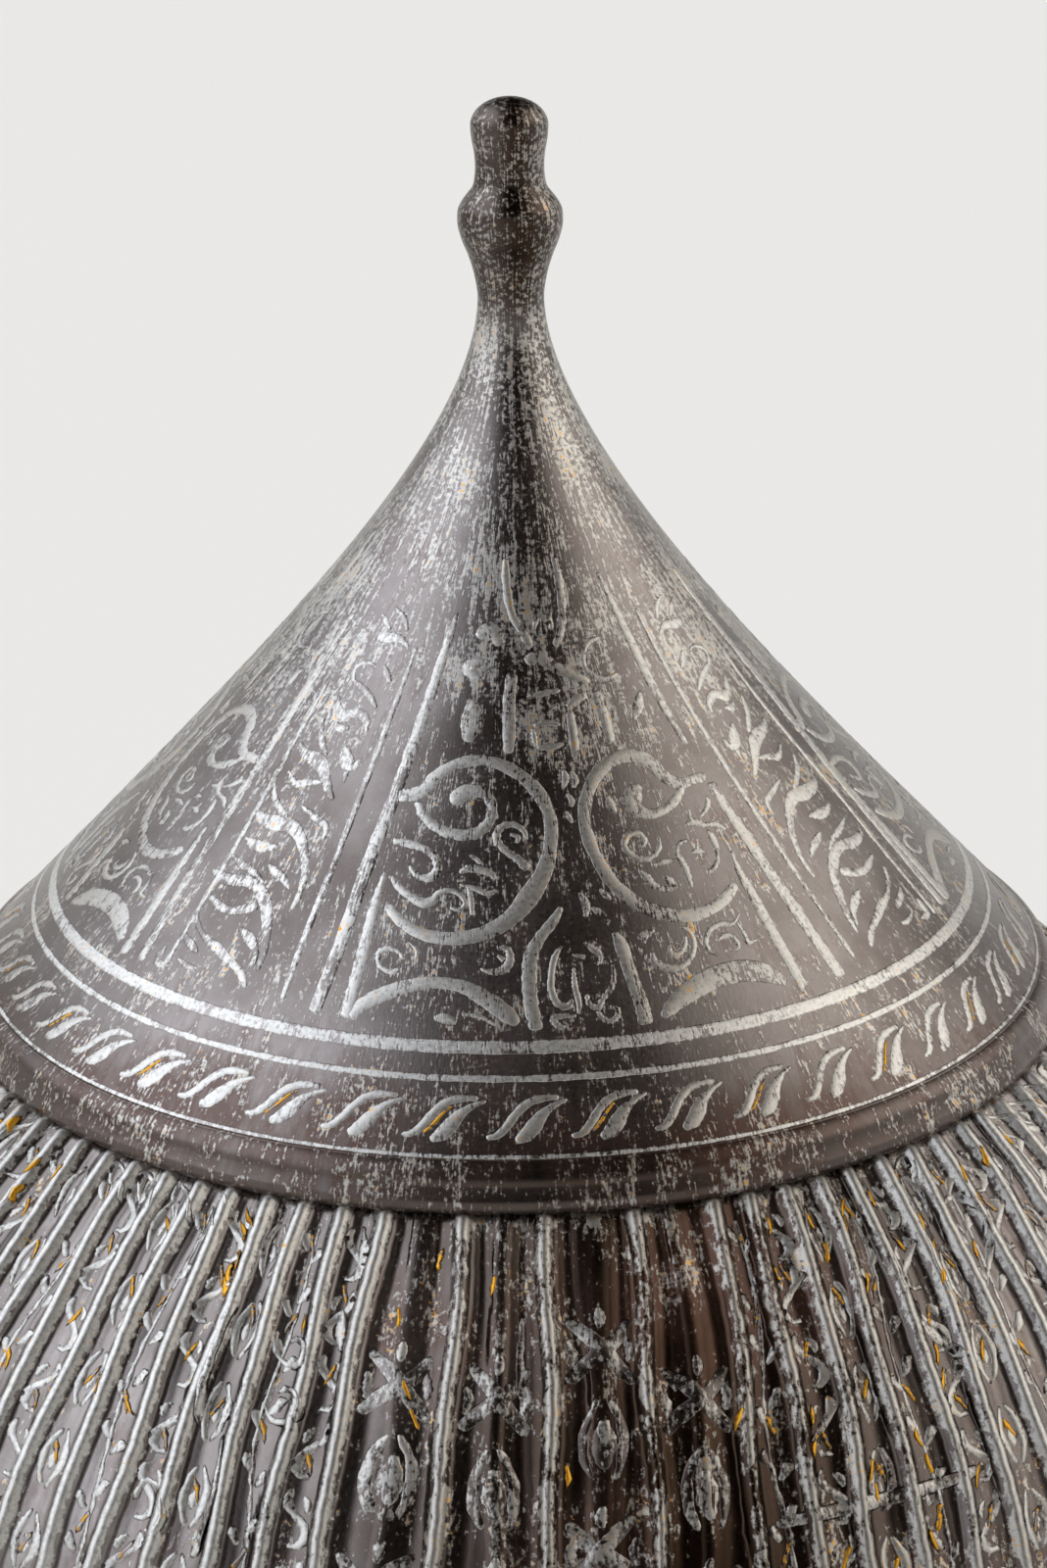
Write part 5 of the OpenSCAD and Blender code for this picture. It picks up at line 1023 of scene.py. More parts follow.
FRONT = [
    [(-36.8, 17.4, 0.4), (-36.0, 16.6, 0.8), (-34.9, 17.4, 0.9), (-35.2, 19.2, 0.9), (-37.2, 19.6, 0.9),
     (-38.4, 17.8, 0.8), (-37.8, 15.6, 0.6)],
    [(-38.6, 23.0, 0.4), (-37.6, 22.2, 0.8), (-36.3, 23.2, 0.9), (-36.8, 25.4, 1.0), (-39.2, 25.8, 0.9),
     (-40.4, 23.6, 0.8)],
    [(-27.0, 2.5, 0.5), (-27.5, 6.5, 1.0), (-28.5, 9.5, 0.5)],
    [(-30.0, 12.5, 0.4), (-30.6, 15.0, 1.5), (-31.0, 17.5, 0.4)],
    [(-42.0, 12.0, 0.7), (-45.0, 17.0, 1.1), (-47.5, 24.0, 1.1), (-48.0, 28.0, 0.7)],
    [(-45.0, 28.0, 0.6), (-46.0, 34.0, 1.1), (-48.0, 38.0, 1.0), (-50.0, 42.0, 0.6)],
    [(-57.3, 37.2, 0.8), (-55.4, 34.6, 0.9), (-53.0, 35.8, 0.9), (-52.8, 38.6, 0.9), (-54.8, 40.2, 0.9),
     (-57.0, 38.6, 0.8)],
    [(33.2, 9.0, 0.5), (33.8, 14.0, 1.2), (36.0, 20.0, 1.3), (40.0, 25.0, 1.1), (42.8, 27.0, 0.5)],
    [(38.0, 11.0, 0.5), (39.0, 16.0, 1.1), (40.5, 20.0, 0.5)],
    [(42.5, 9.0, 0.5), (44.5, 8.2, 1.0), (47.0, 10.4, 1.1), (48.0, 15.0, 1.1), (47.2, 18.0, 1.0),
     (45.5, 20.5, 0.5)],
    [(45.4, 12.8, 0.4), (44.4, 11.6, 0.8), (43.8, 13.0, 0.8), (44.8, 14.2, 0.5)],
    [(-10.3, 12.0, 0.5), (-11.5, 20.0, 1.2), (-11.0, 26.0, 0.5)],
    [(14.0, 37.6, 1.2), (22.0, 37.3, 1.8), (32.0, 37.5, 1.7), (41.0, 37.4, 1.2)]]
GOLD = [
    (18.8, 5), (19.3, 11), (24, 5.5), (25, 9.5), (28, 7), (28.5, 5), (29.6, 14), (33, 5), (36.5, 3.5),
    (38.5, 9.5), (39.3, 13), (39.3, 16), (40.6, 19.5), (46, 6.5), (48, 10), (50, 6), (20, 27), (20.3, 30),
    (26.5, 34), (26.8, 36.5), (33, 32), (33.8, 35), (37, 24), (37.3, 27), (39.5, 38), (34, 41), (33, 43),
    (-40.6, 3.7), (-41.7, 5.5), (-42.5, 9), (-43.5, 10.5), (-44.5, 12), (-52, 7), (-57, 27), (-61, 26),
    (-34.8, 15), (-18.5, 6), (-13.3, 9), (-24.3, 13), (-23.4, 21), (-23, 24), (-8, 30), (12, 26), (13, 44),
    (24, 48), (-30, 47), (-46, 50), (5, 52), (38, 56)]
FLECKS = [[(x - 0.5 * math.sin(i), y - 1.4, 0.3), (x + 0.3 * math.cos(2 * i), y, 0.65),
           (x + 0.6 * math.sin(i), y + 1.5, 0.3)] for i, (x, y) in enumerate(GOLD)]
FLECK = [(-0.5, 0.0, 0.3), (0.0, 1.4, 0.55), (0.5, 3.0, 0.3)]

# %% Lay the ornament in the channels
PITCH_DEG = 360 / RIBS
channel_middles = math.degrees(RIB_START) + (np.arange(RIBS) + 0.5) * PITCH_DEG
narrow = [m for j, m in enumerate(channel_middles) if 2 <= j % QUARTER <= 18]
wide = [math.degrees(RIB_START) + j * PITCH_DEG for j in range(RIBS) if j % QUARTER in WORN]
for name, strokes, places, surface, detail, silver in (
        ("flute_stems", STEM, narrow[0::3], on_channel, 60, 0.7),
        ("flute_twigs", chain(TWIG, 3.5, 6.3, 12), narrow[0::3], on_channel, 6, 0.76),
        ("flute_curls", chain(CURL, 2.6, 7.4, 10), narrow[1::3], on_channel, 12, 0.78),
        ("flute_lancets", chain(LANCET, 3.0, 9.4, 8), narrow[2::3], on_channel, 9, 0.76),
        ("flute_motifs", ARCHES + FRONT, BROAD, on_front, 18, 0.74)):
    ribbons(name, strokes, places, surface, detail, silver=silver, relief=1.8, wear=0.2)
for group, start in enumerate((18.0, 15.4, 16.6, 11.6)):
    ribbons(f"flute_crossings_{group + 1}", chain(CROSSING, start, 21.5, 3), wide[group::4], on_channel, 12,
            silver=0.72, relief=1.3, wear=0.2)
ribbons("flute_gold", FLECKS, BROAD, on_front, 6, silver=0.1, gold=0.9, lift=0.1)
for group in range(3):
    starts = [4.0 + 3.7 * group + 11.3 * i + 2.0 * math.sin(5 * i + group) for i in range(6)]
    drops = [[((-1) ** i * x, start + y, w) for x, y, w in FLECK] for i, start in enumerate(starts)]
    ribbons(f"flute_gold_{group + 1}", drops, narrow[group::3], on_channel, 6, silver=0.1, gold=0.55,
            lift=0.1)

# %% [markdown]
# ## Soft pieces
# Inside the skull sits a cap of wool twill, stuffed and sewn through in twelve gores, each with rows of
# stitching. The seams pull the filling down to less than half its depth. The shape is worked out between two
# curves, the cap's outer and inner faces in the CAD model, so it fills the same space. Pressed against iron
# the outer face is smooth, so a formula gives what a cloth simulation would.

# %% Quilted cap
RIB_BACK = RIB_H + SKULL_WALL
QUILT_T, CAP_GAP = 7.0, 0.5
GORES, STITCHED_ROWS, CAP_COLUMNS = 12, 7, 288
CAP_UV_R, CAP_SLOPE = 75, 130           # a gore's rough mean radius and length: they set the weave's size


def cap_face(depth):
    """The CAD cap's face at a depth: an offset of the crest line at right angles to it, then a quarter of an
    ellipse to the pole."""
    t = np.linspace(0.99, 0.08, 40)
    d = bezier(CREST, t + 1e-4) - bezier(CREST, t - 1e-4)
    d /= np.linalg.norm(d, axis=1)[:, None]
    side = bezier(CREST, t) + (RIB_BACK + depth) * np.stack([d[:, 1], -d[:, 0]], -1)
    a = np.linspace(0, np.pi / 2, 22)
    r, z = FLUTE_TOP_R - 5 - depth * 0.9, SHOULDER_Z + 1 - depth * 0.6
    dome = np.stack([r * np.cos(a), z + (22 - depth * 0.4) * np.sin(a)], -1)
    foot = [[CREST[3][0] - RIB_BACK - depth, BAND_H - 4 + 0.3]]
    return np.concatenate([foot, side, dome])


def pillow(u, sharp=0.35):
    """Height of a stuffed channel across its width: 0 on the seams, 1 in the middle and steep near the
    seams, as a sine raised to a power below 1 is."""
    return np.maximum(np.sin(np.pi * u), 0) ** sharp


cap_out, cap_in = cap_face(CAP_GAP), cap_face(CAP_GAP + QUILT_T)
a = np.arange(CAP_COLUMNS) * 2 * np.pi / CAP_COLUMNS
up = np.linspace(0, 1, len(cap_in))
gore = pillow((a / (2 * np.pi) * GORES) % 1)[None, :]
# Rows of stitching cross the gores every seventh of the height and slope a little, as hand quilting does
row = pillow(((up * STITCHED_ROWS)[:, None] + 0.1 * np.sin(a * GORES / 2)[None, :]) % 1, 0.5)
foot = np.clip(up * 2 * STITCHED_ROWS, 0, 1)[:, None] ** 0.5
fill = np.clip(0.42 + 0.58 * gore * (0.45 + 0.55 * row), 0, 1) * (0.35 + 0.65 * foot)
inner_face = cap_out[:, None, :] + (cap_in - cap_out)[:, None, :] * fill[..., None]
outer_face = cap_out[:, None, :] + (cap_in - cap_out)[:, None, :] * 0.02 * gore[..., None]
section = np.concatenate([inner_face[::-1], outer_face])
cap = skin("quilted_cap", placed(a[None, :], section[..., 0], section[..., 1]), "root", WOOL, around=True,
           uv=uv_pairs(a * CAP_UV_R, np.concatenate([up[::-1], up + 1]) * CAP_SLOPE), weld=0.001,
           turn=2 * np.pi * CAP_UV_R)
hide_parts("lining_cap")
print("cap", len(cap.data.polygons), "faces")

# %% [markdown]
# The leather band carries the cap. It is a strip turned into a ring, with rounded edges and two rows of
# stitches. A stitch is a short flat bar of waxed thread, repeated round the ring.

# %% Leather band
LEATHER_T = 2.0
INNER_R = BROW_R - SKULL_WALL
LEATHER_OUT = INNER_R - 0.1
LEATHER_LOW, LEATHER_HIGH = 1.5, BAND_H - 4
LEATHER_UV_R = 106


def rounded_box(middle, width, height, corner, steps):
    """A rectangle with round corners: a quarter of a circle, in a few steps, round each corner's centre."""
    w, h = width / 2 - corner, height / 2 - corner
    centres = np.repeat(np.array([[w, h], [-w, h], [-w, -h], [w, -h]]), steps, 0)
    a = np.radians(np.concatenate([start + np.linspace(0, 90, steps) for start in (0, 90, 180, 270)]))
    return centres + corner * np.stack([np.cos(a), np.sin(a)], -1) + middle


profile = rounded_box((LEATHER_OUT - LEATHER_T / 2, (LEATHER_LOW + LEATHER_HIGH) / 2), LEATHER_T,
                      LEATHER_HIGH - LEATHER_LOW, 0.8, 4)[::-1]
band = skin("leather_band", turned(profile, BAND_COLUMNS), "root", LEATHER, around=True, along=True,
            uv=uv_pairs(BAND_ANGLES * LEATHER_UV_R, np.arange(len(profile)) * 1.9), weld=0.001,
            turn=2 * np.pi * LEATHER_UV_R)
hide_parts("lining_band")
print("leather band", len(band.data.polygons), "faces")

# %% Stitches
STITCHES = 190
STITCH_ROWS = np.array([3.6, BAND_H - 6.2])
STITCH_L, STITCH_W, STITCH_H = 2.6, 0.7, 0.35


def stitch_bars(centres, run, side):
    """Short bars at places [n, 3], each along its own direction run, with its width along side and its height
    along their cross product. A bar narrows as the root of 1 less the fourth power of the way to its end."""
    out = np.cross(run, side)
    t = np.linspace(-1, 1, 5)
    ends = np.sqrt(np.maximum(1 - t ** 4, 0))
    a = np.radians(np.array([0, 60, 120, 180, 270]))
    across, rise = np.cos(a) * STITCH_W / 2, np.where(np.arange(5) < 4, np.sin(a), -0.6) * STITCH_H
    shape = across[:, None] * side[:, None, None, :] + rise[:, None] * out[:, None, None, :]
    line = centres[:, None, None, :] + (t * STITCH_L / 2)[:, None, None] * run[:, None, None, :]
    return line + ends[:, None, None] * shape


a = np.repeat((np.arange(STITCHES) + 0.5) * 2 * np.pi / STITCHES, len(STITCH_ROWS))
places = placed(a, LEATHER_OUT - LEATHER_T - 0.02, np.tile(STITCH_ROWS, STITCHES))
tangent = np.stack([np.cos(a), np.sin(a), 0 * a], -1)
bars = stitch_bars(places, tangent, np.tile([0.0, 0, 1], (len(a), 1)))
skin("band_stitches", bars, "root", THREAD, around=True, weld=0.0001)
print("stitches", len(a))

# %% [markdown]
# Each cheekpiece is padded too. The pad follows the plate's outline, which two curves give as widths at each
# height, and its section is a flat back against the steel and a quilted face towards the cheek. Everything on
# a cheekpiece is worked out in the frame of its hinge and then turned to its place; the right side is the
# mirror image of the left.

# %% Frame of a cheekpiece
HINGE_U = BROW_R + 0.3
HINGE_Z = -3.2
CHEEK_ANGLE, CHEEK_LEAN = math.radians(72), math.radians(1)
CHEEK_OUT = HINGE_U - 0.7
CHEEK_IN = CHEEK_OUT - 1.3
CHEEK_TOP, CHEEK_BOTTOM, CHEEK_W, CHIN_W = -6.6, -118.6, 68.0, -8.0
PAD_OUT = CHEEK_IN - 0.3
STRAP_Z = CHEEK_BOTTOM + 10
STRAP_W = 14.0
STRAP_OUT = math.sqrt(PAD_OUT ** 2 - (abs(CHIN_W) + STRAP_W / 2) ** 2) - 0.1
STRAP_MID = STRAP_OUT - LEATHER_T / 2
SIDES = {"left": 1, "right": -1}


def on_cheek(points, side):
    """Points (outwards, along the brow, height) of a hanging cheekpiece, leaned about its hinge, turned to
    the cheekpiece's angle and mirrored to a side."""
    p = np.asarray(points, float)
    u, w, z = p[..., 0] - HINGE_U, p[..., 1], p[..., 2] - HINGE_Z
    u, z = (u * math.cos(CHEEK_LEAN) + z * math.sin(CHEEK_LEAN) + HINGE_U,
            -u * math.sin(CHEEK_LEAN) + z * math.cos(CHEEK_LEAN) + HINGE_Z)
    turn = CHEEK_ANGLE - math.pi / 2
    x, y = u * math.cos(turn) - w * math.sin(turn), u * math.sin(turn) + w * math.cos(turn)
    return np.stack([side * x, y, z], -1)


def cheek_edges(z, inset):
    """Front and back edge of the plate's outline at heights z, drawn in by an inset."""
    h, t, c = CHEEK_W / 2 - inset, CHEEK_TOP - inset, CHEEK_BOTTOM + 13
    front = bezier([[-h, t], [-h - 1, t - 26], [CHIN_W - 9, t - 48], [CHIN_W - 13 + inset, c]],
                   np.linspace(0, 1, 200))
    back = bezier([[CHIN_W + 13 - inset, c], [CHIN_W + 24 - inset, t - 70], [h + 1, t - 50], [h, t]],
                  np.linspace(0, 1, 200))
    return np.interp(z, front[::-1, 1], front[::-1, 0]), np.interp(z, back[:, 1], back[:, 0])

# %% Cheek linings
PAD_ROWS, PAD_COLUMNS = 110, 56
PAD_ROUND = 5               # the pad's edge is rounded over 5 mm
PAD_GAP, PAD_RIM = 0.7, 0.9
QUILT_W, QUILT_H = 15, 34   # the lozenges of the quilting
pad_top, pad_low = CHEEK_TOP - 2, STRAP_Z + STRAP_W / 2
z = pad_top + (pad_low - pad_top) * np.linspace(0, 1, PAD_ROWS)
front_edge, back_edge = cheek_edges(z, 2)
across = (1 - np.cos(np.linspace(0, np.pi, PAD_COLUMNS))) / 2
# Section: along the quilted face and back along the flat one. The rim is round, so they meet off the back
w_face = front_edge[:, None] + (back_edge - front_edge)[:, None] * across
rim = round_over(np.minimum(w_face - front_edge[:, None], back_edge[:, None] - w_face) / PAD_ROUND)
ends = round_over(np.minimum(pad_top - z, z - pad_low) / PAD_ROUND)[:, None]
lozenge_w, lozenge_h = (w_face - 3) / QUILT_W, z[:, None] / QUILT_H
quilt = pillow((lozenge_w + lozenge_h) % 1, 0.4) * pillow((lozenge_w - lozenge_h) % 1, 0.4)
depth = (1.1 + 2.9 * (0.25 + 0.75 * quilt)) * rim * ends
w_all = np.concatenate([w_face, w_face[:, -2:0:-1]], 1)
u_face = PAD_OUT - PAD_GAP - PAD_RIM - depth
u_back = PAD_OUT - PAD_GAP - PAD_RIM * (1 - rim * ends)
r_all = np.concatenate([u_face, u_back[:, -2:0:-1]], 1)
pad_points = np.stack([np.sqrt(r_all ** 2 - w_all ** 2), w_all, np.repeat(z[:, None], w_all.shape[1], 1)], -1)
for side, sign in SIDES.items():
    pad = skin(side + "_cheek_padding", on_cheek(pad_points, sign), side + "_cheek", WOOL, around=True,
               uv=pad_points[..., 1:], weld=0.0005)
    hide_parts(side + "_cheek_lining")
print("cheek padding", len(pad.data.polygons), "faces")

# %% [markdown]
# A strap is a flat band carried along a path. Its section is a rectangle with rounded edges, turned to follow
# the path. The short strap passes round the buckle's bar and doubles back on itself, with a slot for the
# tongue, and the long one ends in a rounded tip with holes. Slot and holes are cut with the exact Boolean
# modifier, because a hole in leather has a clean edge.

# %% A strap along a path
STRAP_EDGE = 0.45


def strap_grid(path, width, thick, w_mid, taper):
    """A section carried along a path of (outwards, height) points: its thickness lies along the path's
    normal. taper narrows and thins its ends."""
    d = np.gradient(path, axis=0)
    d /= np.linalg.norm(d, axis=1)[:, None]
    normal = np.stack([d[:, 1], -d[:, 0]], -1)
    section = rounded_box((0, 0), width, thick, STRAP_EDGE, 3)
    across = section[None, :, 0] * taper[:, :1]
    depth = section[None, :, 1] * taper[:, 1:]
    return np.stack([path[:, :1] + normal[:, :1] * depth, w_mid + across,
                     path[:, 1:] + normal[:, 1:] * depth], -1)


def end_taper(path, start_r, end_r):
    """Factors (width, thickness) along a path: in plan each end is a quarter of a circle over its own radius,
    and it thins over its last 0.6 mm."""
    length = distances(path)
    factors = np.ones((len(path), 2))
    for distance, radius in ((length, start_r), (length[-1] - length, end_r)):
        flat = 1 - radius / (STRAP_W / 2)
        factors[:, 0] = np.minimum(factors[:, 0], flat + (1 - flat) * round_over(distance / radius))
        factors[:, 1] = np.minimum(factors[:, 1], np.sqrt(np.clip(distance / 0.6, 0, 1)))
    return factors


def strap_uv(path, grid):
    """UV in millimetres: across the section's columns and along the path."""
    return uv_pairs(np.arange(grid.shape[1]) * 2.6, distances(path))

# %% Straps
BUCKLE_DROP, BAR_WIRE = 36.0, 1.3
LOOP_Z = STRAP_Z - BUCKLE_DROP
LOOP_R = BAR_WIRE + 0.3 + LEATHER_T / 2
STRAP_TOP = STRAP_Z + STRAP_W / 2 - 0.4
STRAP_LEN, TIP_R = 118, 7
s = np.linspace(0, 1, 16)
straight = np.stack([0 * s, STRAP_TOP + (LOOP_Z + 8 - STRAP_TOP) * s], -1)
swing = np.stack([LOOP_R * step(s), LOOP_Z + 8 * (1 - s)], -1)[1:]
a = np.linspace(0, -np.pi, 26)[1:]
round_bar = np.stack([LOOP_R * np.cos(a), LOOP_Z + LOOP_R * np.sin(a)], -1)
back = np.stack([-LOOP_R + (LOOP_R - LEATHER_T - 0.02) * step(s), LOOP_Z + 7 * s], -1)[1:]
tail = np.stack([0 * s - LEATHER_T - 0.02, LOOP_Z + 7 + 10 * s], -1)[1:]
short_path = np.concatenate([straight, swing, round_bar, back, tail]) + [STRAP_MID, 0]
long_low = STRAP_Z - STRAP_LEN - STRAP_W / 2
long_z = np.concatenate([np.linspace(STRAP_TOP, long_low + TIP_R, 55),
                         np.linspace(long_low + TIP_R, long_low, 16)[1:]])
long_path = np.stack([np.full(len(long_z), STRAP_MID), long_z], -1)
straps = {}
for side, path, end_r in (("left", short_path, 2), ("right", long_path, TIP_R)):
    grid = strap_grid(path, STRAP_W, LEATHER_T, CHIN_W, end_taper(path, 3, end_r))
    straps[side] = skin(side + "_strap", on_cheek(grid, SIDES[side]), side + "_cheek", LEATHER, around=True,
                        uv=strap_uv(path, grid), weld=0.0002)
    print(side, "strap", round(distances(path)[-1], 1), "mm long")

# %% Slot and holes
HOLES, HOLE_PITCH, HOLE_R = 5, 11, 1.6
SLOT_HALF_W, SLOT_HALF_H = 2.4, 4.4


def cut(piece, cutter_grids):
    """Subtracts closed grids from a piece and keeps its UV map."""
    cutters = [skin("cutter", grid, "root", LEATHER, around=True, weld=0.0001) for grid in cutter_grids]
    for cutter in cutters:
        modifier = piece.modifiers.new("cut", "BOOLEAN")
        modifier.operation, modifier.solver, modifier.object = "DIFFERENCE", "EXACT", cutter
    bpy.context.view_layer.update()
    result = bpy.data.meshes.new_from_object(piece.evaluated_get(bpy.context.evaluated_depsgraph_get()))
    piece.modifiers.clear()
    old, piece.data = piece.data, result
    bpy.data.meshes.remove(old)
    for cutter in cutters:
        bpy.data.objects.remove(cutter)


def plug(outline, u, w, z, length):
    """A closed bar along the outward direction: an outline of (across, up) points in four rows, of which the
    first and the last shrink to its middle."""
    rows = np.array([0, 1, 1, 0])[:, None]
    reach = np.array([-length / 2, -length / 2, length / 2, length / 2])[:, None]
    return np.stack([np.broadcast_to(u + reach, (4, len(outline))), w + outline[:, 0] * rows,
                     z + outline[:, 1] * rows], -1)


a = np.arange(24) * 2 * np.pi / 24
round_hole = HOLE_R * np.stack([np.cos(a), np.sin(a)], -1)
tongue_slot = np.array([[-1, -1], [1, -1], [1, 1], [-1, 1]]) * [SLOT_HALF_W, SLOT_HALF_H]
hole_places = [STRAP_Z - STRAP_LEN + 6 + HOLE_PITCH * i for i in range(HOLES)]
cut(straps["left"], [on_cheek(plug(tongue_slot, STRAP_MID, CHIN_W, LOOP_Z - 1, 16), 1)])
cut(straps["right"], [on_cheek(plug(round_hole, STRAP_MID, CHIN_W, z, 8), -1) for z in hole_places])
for side, strap in straps.items():
    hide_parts(side + "_chin_strap")
    print(side, "strap", len(strap.data.polygons), "faces")

# %% [markdown]
# Three leathers hang inside the neck guard. Each is a row of short strips, one for each lame, that slide past
# each other as the guard lifts. A strip is a flat band with softened edges, bent where its lame is bent.

# %% Neck leathers
LAMES, LAME_LAP, LAME_PITCH, LAME_STEP, LAME_FAN, LAME_LIFT = 5, 10.0, 13.0, 1.65, 4.0, 7
LAME_SLOPE = 0.15           # how far a lame flares outwards for each millimetre down
PIVOT_Y, STRIP_W, STRIP_T, STRIP_GAP, STRIP_ROOM = 12.0, 15.0, 1.2, 0.4, 0.9
STRIP_ANGLES = (180 - 44, 180, 180 + 44)
FAN_SHARE = math.tan(math.radians(LAME_FAN)) - math.sin(math.radians(LAME_LIFT))
STRIP_GRIP = (LAME_PITCH + (BROW_R - PIVOT_Y) * FAN_SHARE - STRIP_ROOM) / 2


def lame_in(i, z):
    """Inner radius of lame i at a height: each is a step wider than the one above, and all flare."""
    return BROW_R + 0.1 + (i - 1) * LAME_STEP + LAME_SLOPE * max(0, -z)


def seam_z(k, y):
    """Height of the middle of the overlap under lame k, at a distance y behind the helmet's axis. The
    overlaps fan out from the pivots at the sides."""
    fan = 0 if k < 1 else min(k, LAMES - 1) * LAME_FAN + (LAME_FAN if k >= LAMES else 0)
    base = (12 - LAME_LAP / 2 if k < 1 else -7 - (k - 1) * LAME_PITCH if k < LAMES
            else -7 - (LAMES - 2) * LAME_PITCH - 22 + LAME_LAP / 2)
    return base - (y - PIVOT_Y) * math.tan(math.radians(fan))


def edge_z(i, angle):
    """Height of lame i's lower edge, at an angle round the neck."""
    return seam_z(i, -lame_in(i, seam_z(i, BROW_R)) * math.cos(angle)) - LAME_LAP / 2


def strip_levels(i, angle):
    """Top, bend and foot of a strip on lame i, as heights. It reaches a grip above its rivet, and ends 2 mm
    below the next strip's top, or a grip below its rivet on the last lame."""
    rivet = edge_z(i, angle) + (7 if i == LAMES else STRIP_GRIP)
    if i == LAMES:
        return [rivet + STRIP_GRIP, rivet - STRIP_GRIP]
    next_rivet = edge_z(i + 1, angle) + (7 if i + 1 == LAMES else STRIP_GRIP)
    return [rivet + STRIP_GRIP, edge_z(i, angle), next_rivet + STRIP_GRIP - 2]


for i in range(1, LAMES + 1):
    grids, uvs = [], []
    for angle in np.radians(STRIP_ANGLES):
        levels = strip_levels(i, angle)
        z = np.interp(np.linspace(0, 1, 14), np.linspace(0, 1, len(levels)), levels)
        plate = np.interp(z, levels[::-1], [lame_in(i, level) for level in levels[::-1]])
        path = np.stack([plate - STRIP_GAP - STRIP_T / 2, z], -1)
        grid = strap_grid(path, STRIP_W, STRIP_T, 0.0, end_taper(path, 1.5, 1.5))
        x, w, h = grid[..., 0], grid[..., 1], grid[..., 2]
        turn = angle - np.pi / 2
        grids.append(np.stack([x * np.cos(turn) - w * np.sin(turn), x * np.sin(turn) + w * np.cos(turn), h],
                              -1))
        uvs.append(strap_uv(path, grid) + [0, 40 * i])
    body = "root" if i == 1 else f"lame_{i}"
    strips = skin(f"neck_strips_{i}", np.stack(grids), body, LEATHER, around=True, uv=np.stack(uvs),
                  weld=0.0002)
    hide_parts(f"neck_leather_{i}")
print("neck strips on", LAMES, "lames")

# %% [markdown]
# ## Finishes of the CAD pieces
# The rigid pieces keep their CAD shape. The armourer's plates are russet like the skull, the nasal bar and
# the hinge pins are silvered, and the rivets, studs, pivots, buckle, wing screw and plume holder are gilt
# brass. So each piece's name tells its finish.

# %% Russet, silvered and gilt pieces
BRASS_WORDS = ("rivets", "studs", "pivots", "buckle", "plume_holder", "wing_screw")
SILVERED_NAMES = ("nasal_bar", "left_hinge_pin", "right_hinge_pin")
for name, node in nodes.items():
    gilt = any(word in name for word in BRASS_WORDS)
    for place in node.material_slots:
        place.material = BRASS if gilt else SILVERED if name in SILVERED_NAMES else RUSSET
print("finished", len(nodes), "CAD pieces")

# %% [markdown]
# ## Studio
# Metal shows what it reflects. The skull is bright on its two sides and dark down the middle in front, so the
# room has two large soft lights, left and right, and nothing bright stands in front or overhead. The floor is
# a plain pale sheet at the level of the long strap's end, and it fills the camera's view. A view from lower
# down sees over it, so a pale backdrop stands round the room, as high as such a view needs.

# %% Floor
FLOOR_HALF = 40             # in metres, so that no edge comes into the camera's view
cad_low = cad_box[0][2]
mesh = bpy.data.meshes.new("floor")
mesh.from_pydata([(x * FLOOR_HALF, y * FLOOR_HALF, cad_low) for x, y in ((-1, -1), (1, -1), (1, 1), (-1, 1))],
                 [], [(0, 1, 2, 3)])
floor = bpy.data.objects.new("floor", mesh)
bpy.context.scene.collection.objects.link(floor)
material, tree, shader = new_material("floor_paper")
shader.inputs["Base Color"].default_value = linear("#f4f3f0")
shader.inputs["Roughness"].default_value = 0.95
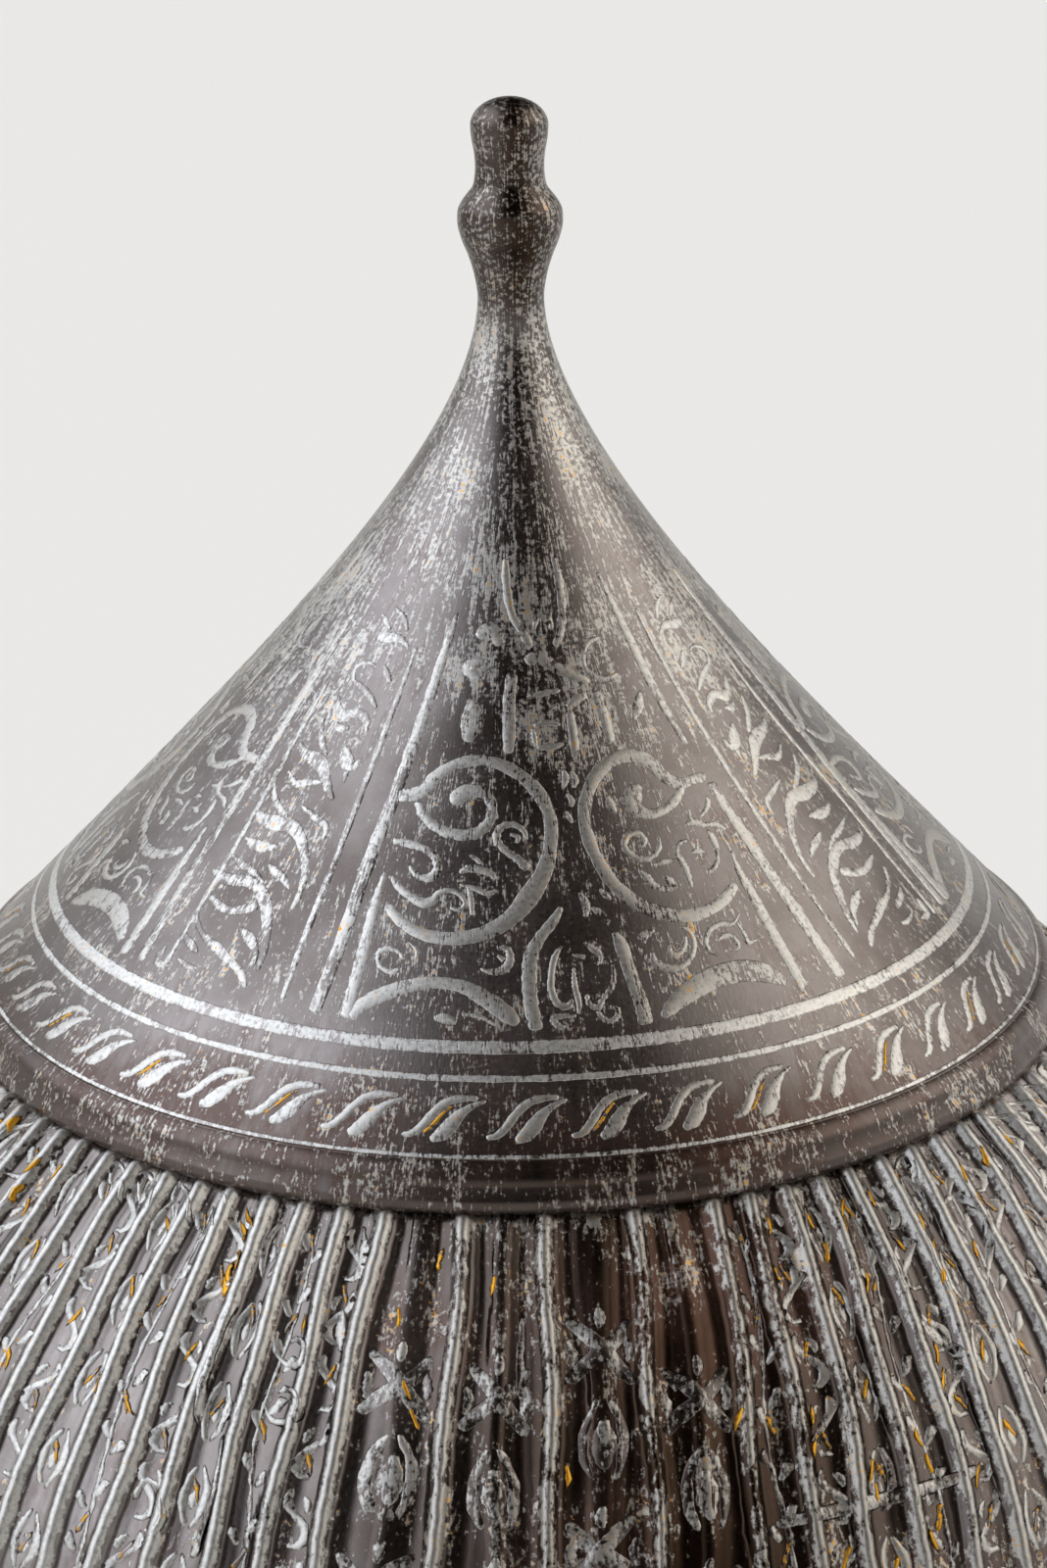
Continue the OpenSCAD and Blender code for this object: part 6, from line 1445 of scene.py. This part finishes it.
# Seen directly or mirrored in metal, most of the paper's brightness is its own, and the rest keeps the shadow
seen = add(tree, "LightPath", out="Is Camera Ray")
for ray in ("Is Glossy Ray", "Is Transmission Ray"):
    seen = add(tree, "Math", {0: seen, 1: add(tree, "LightPath", out=ray)}, operation="MAXIMUM")
glow = add(tree, "Emission", {"Color": "#f1f0ed", "Strength": 1.0})
share = add(tree, "Math", {0: seen, 1: 0.6}, operation="MULTIPLY")
paper = add(tree, "MixShader", {0: share, 1: shader.outputs[0], 2: glow})
tree.links.new(paper, tree.nodes["Material Output"].inputs["Surface"])
mesh.materials.append(material)
print("floor at", round(cad_low * 1000, 1), "mm")

# %% World and lamps
LIGHT_STRENGTH = 1.9
LAMP_SPREAD = math.radians(60)
world = bpy.data.worlds.new("studio")
bpy.context.scene.world = world
world.use_nodes = True
tree = world.node_tree
background = tree.nodes["Background"]
direction = add(tree, "TexCoord", out="Generated")
sideways = add(tree, "VectorMath", {0: direction, 1: (0.99, -0.139, 0)}, out="Value", operation="DOT_PRODUCT")
# The soft boxes hang high: near the horizon less of the room is bright
height = add(tree, "SeparateXYZ", {0: direction}, out="Z")
spread = add(tree, "Math", {0: height, 1: 0.56, 2: 0.5}, operation="MULTIPLY_ADD")
narrowed = add(tree, "Math", {0: sideways, 1: spread}, operation="MULTIPLY")
across = add(tree, "Math", {0: narrowed, 1: 0.5, 2: 0.5}, operation="MULTIPLY_ADD")
sky = add(tree, "ValToRGB", {0: across}, stops=(
    (0.27, "#eff4ff"), (0.38, "#362c22"), (0.5, "#120d08"), (0.71, "#2c2319"), (0.83, "#fff9f2")))
# The backdrop ends between 12 and 20 degrees above the horizon
above = add(tree, "MapRange", {"Value": height, "From Min": 0.2, "From Max": 0.34})
room = add(tree, "Mix", {0: above, 6: "#a9a9a7", 7: sky}, out=2, data_type="RGBA")
tree.links.new(room, background.inputs["Color"])
background.inputs["Strength"].default_value = LIGHT_STRENGTH

for name, azimuth, elevation, strength, colour in (("lamp_left", -98, 40, 0.4, (0.95, 0.97, 1.0)),
                                                   ("lamp_right", 86, 40, 0.3, (1.0, 0.97, 0.93))):
    lamp = bpy.data.objects.new(name, bpy.data.lights.new(name, "SUN"))
    lamp.data.energy, lamp.data.angle, lamp.data.color = strength, LAMP_SPREAD, colour
    a, e = math.radians(azimuth), math.radians(elevation)
    away = Vector((math.sin(a) * math.cos(e), -math.cos(a) * math.cos(e), math.sin(e)))
    lamp.matrix_world = away.to_track_quat("Z", "Y").to_matrix().to_4x4()
    bpy.context.scene.collection.objects.link(lamp)
    print(name, strength)
bpy.context.scene.view_settings.view_transform = "Standard"
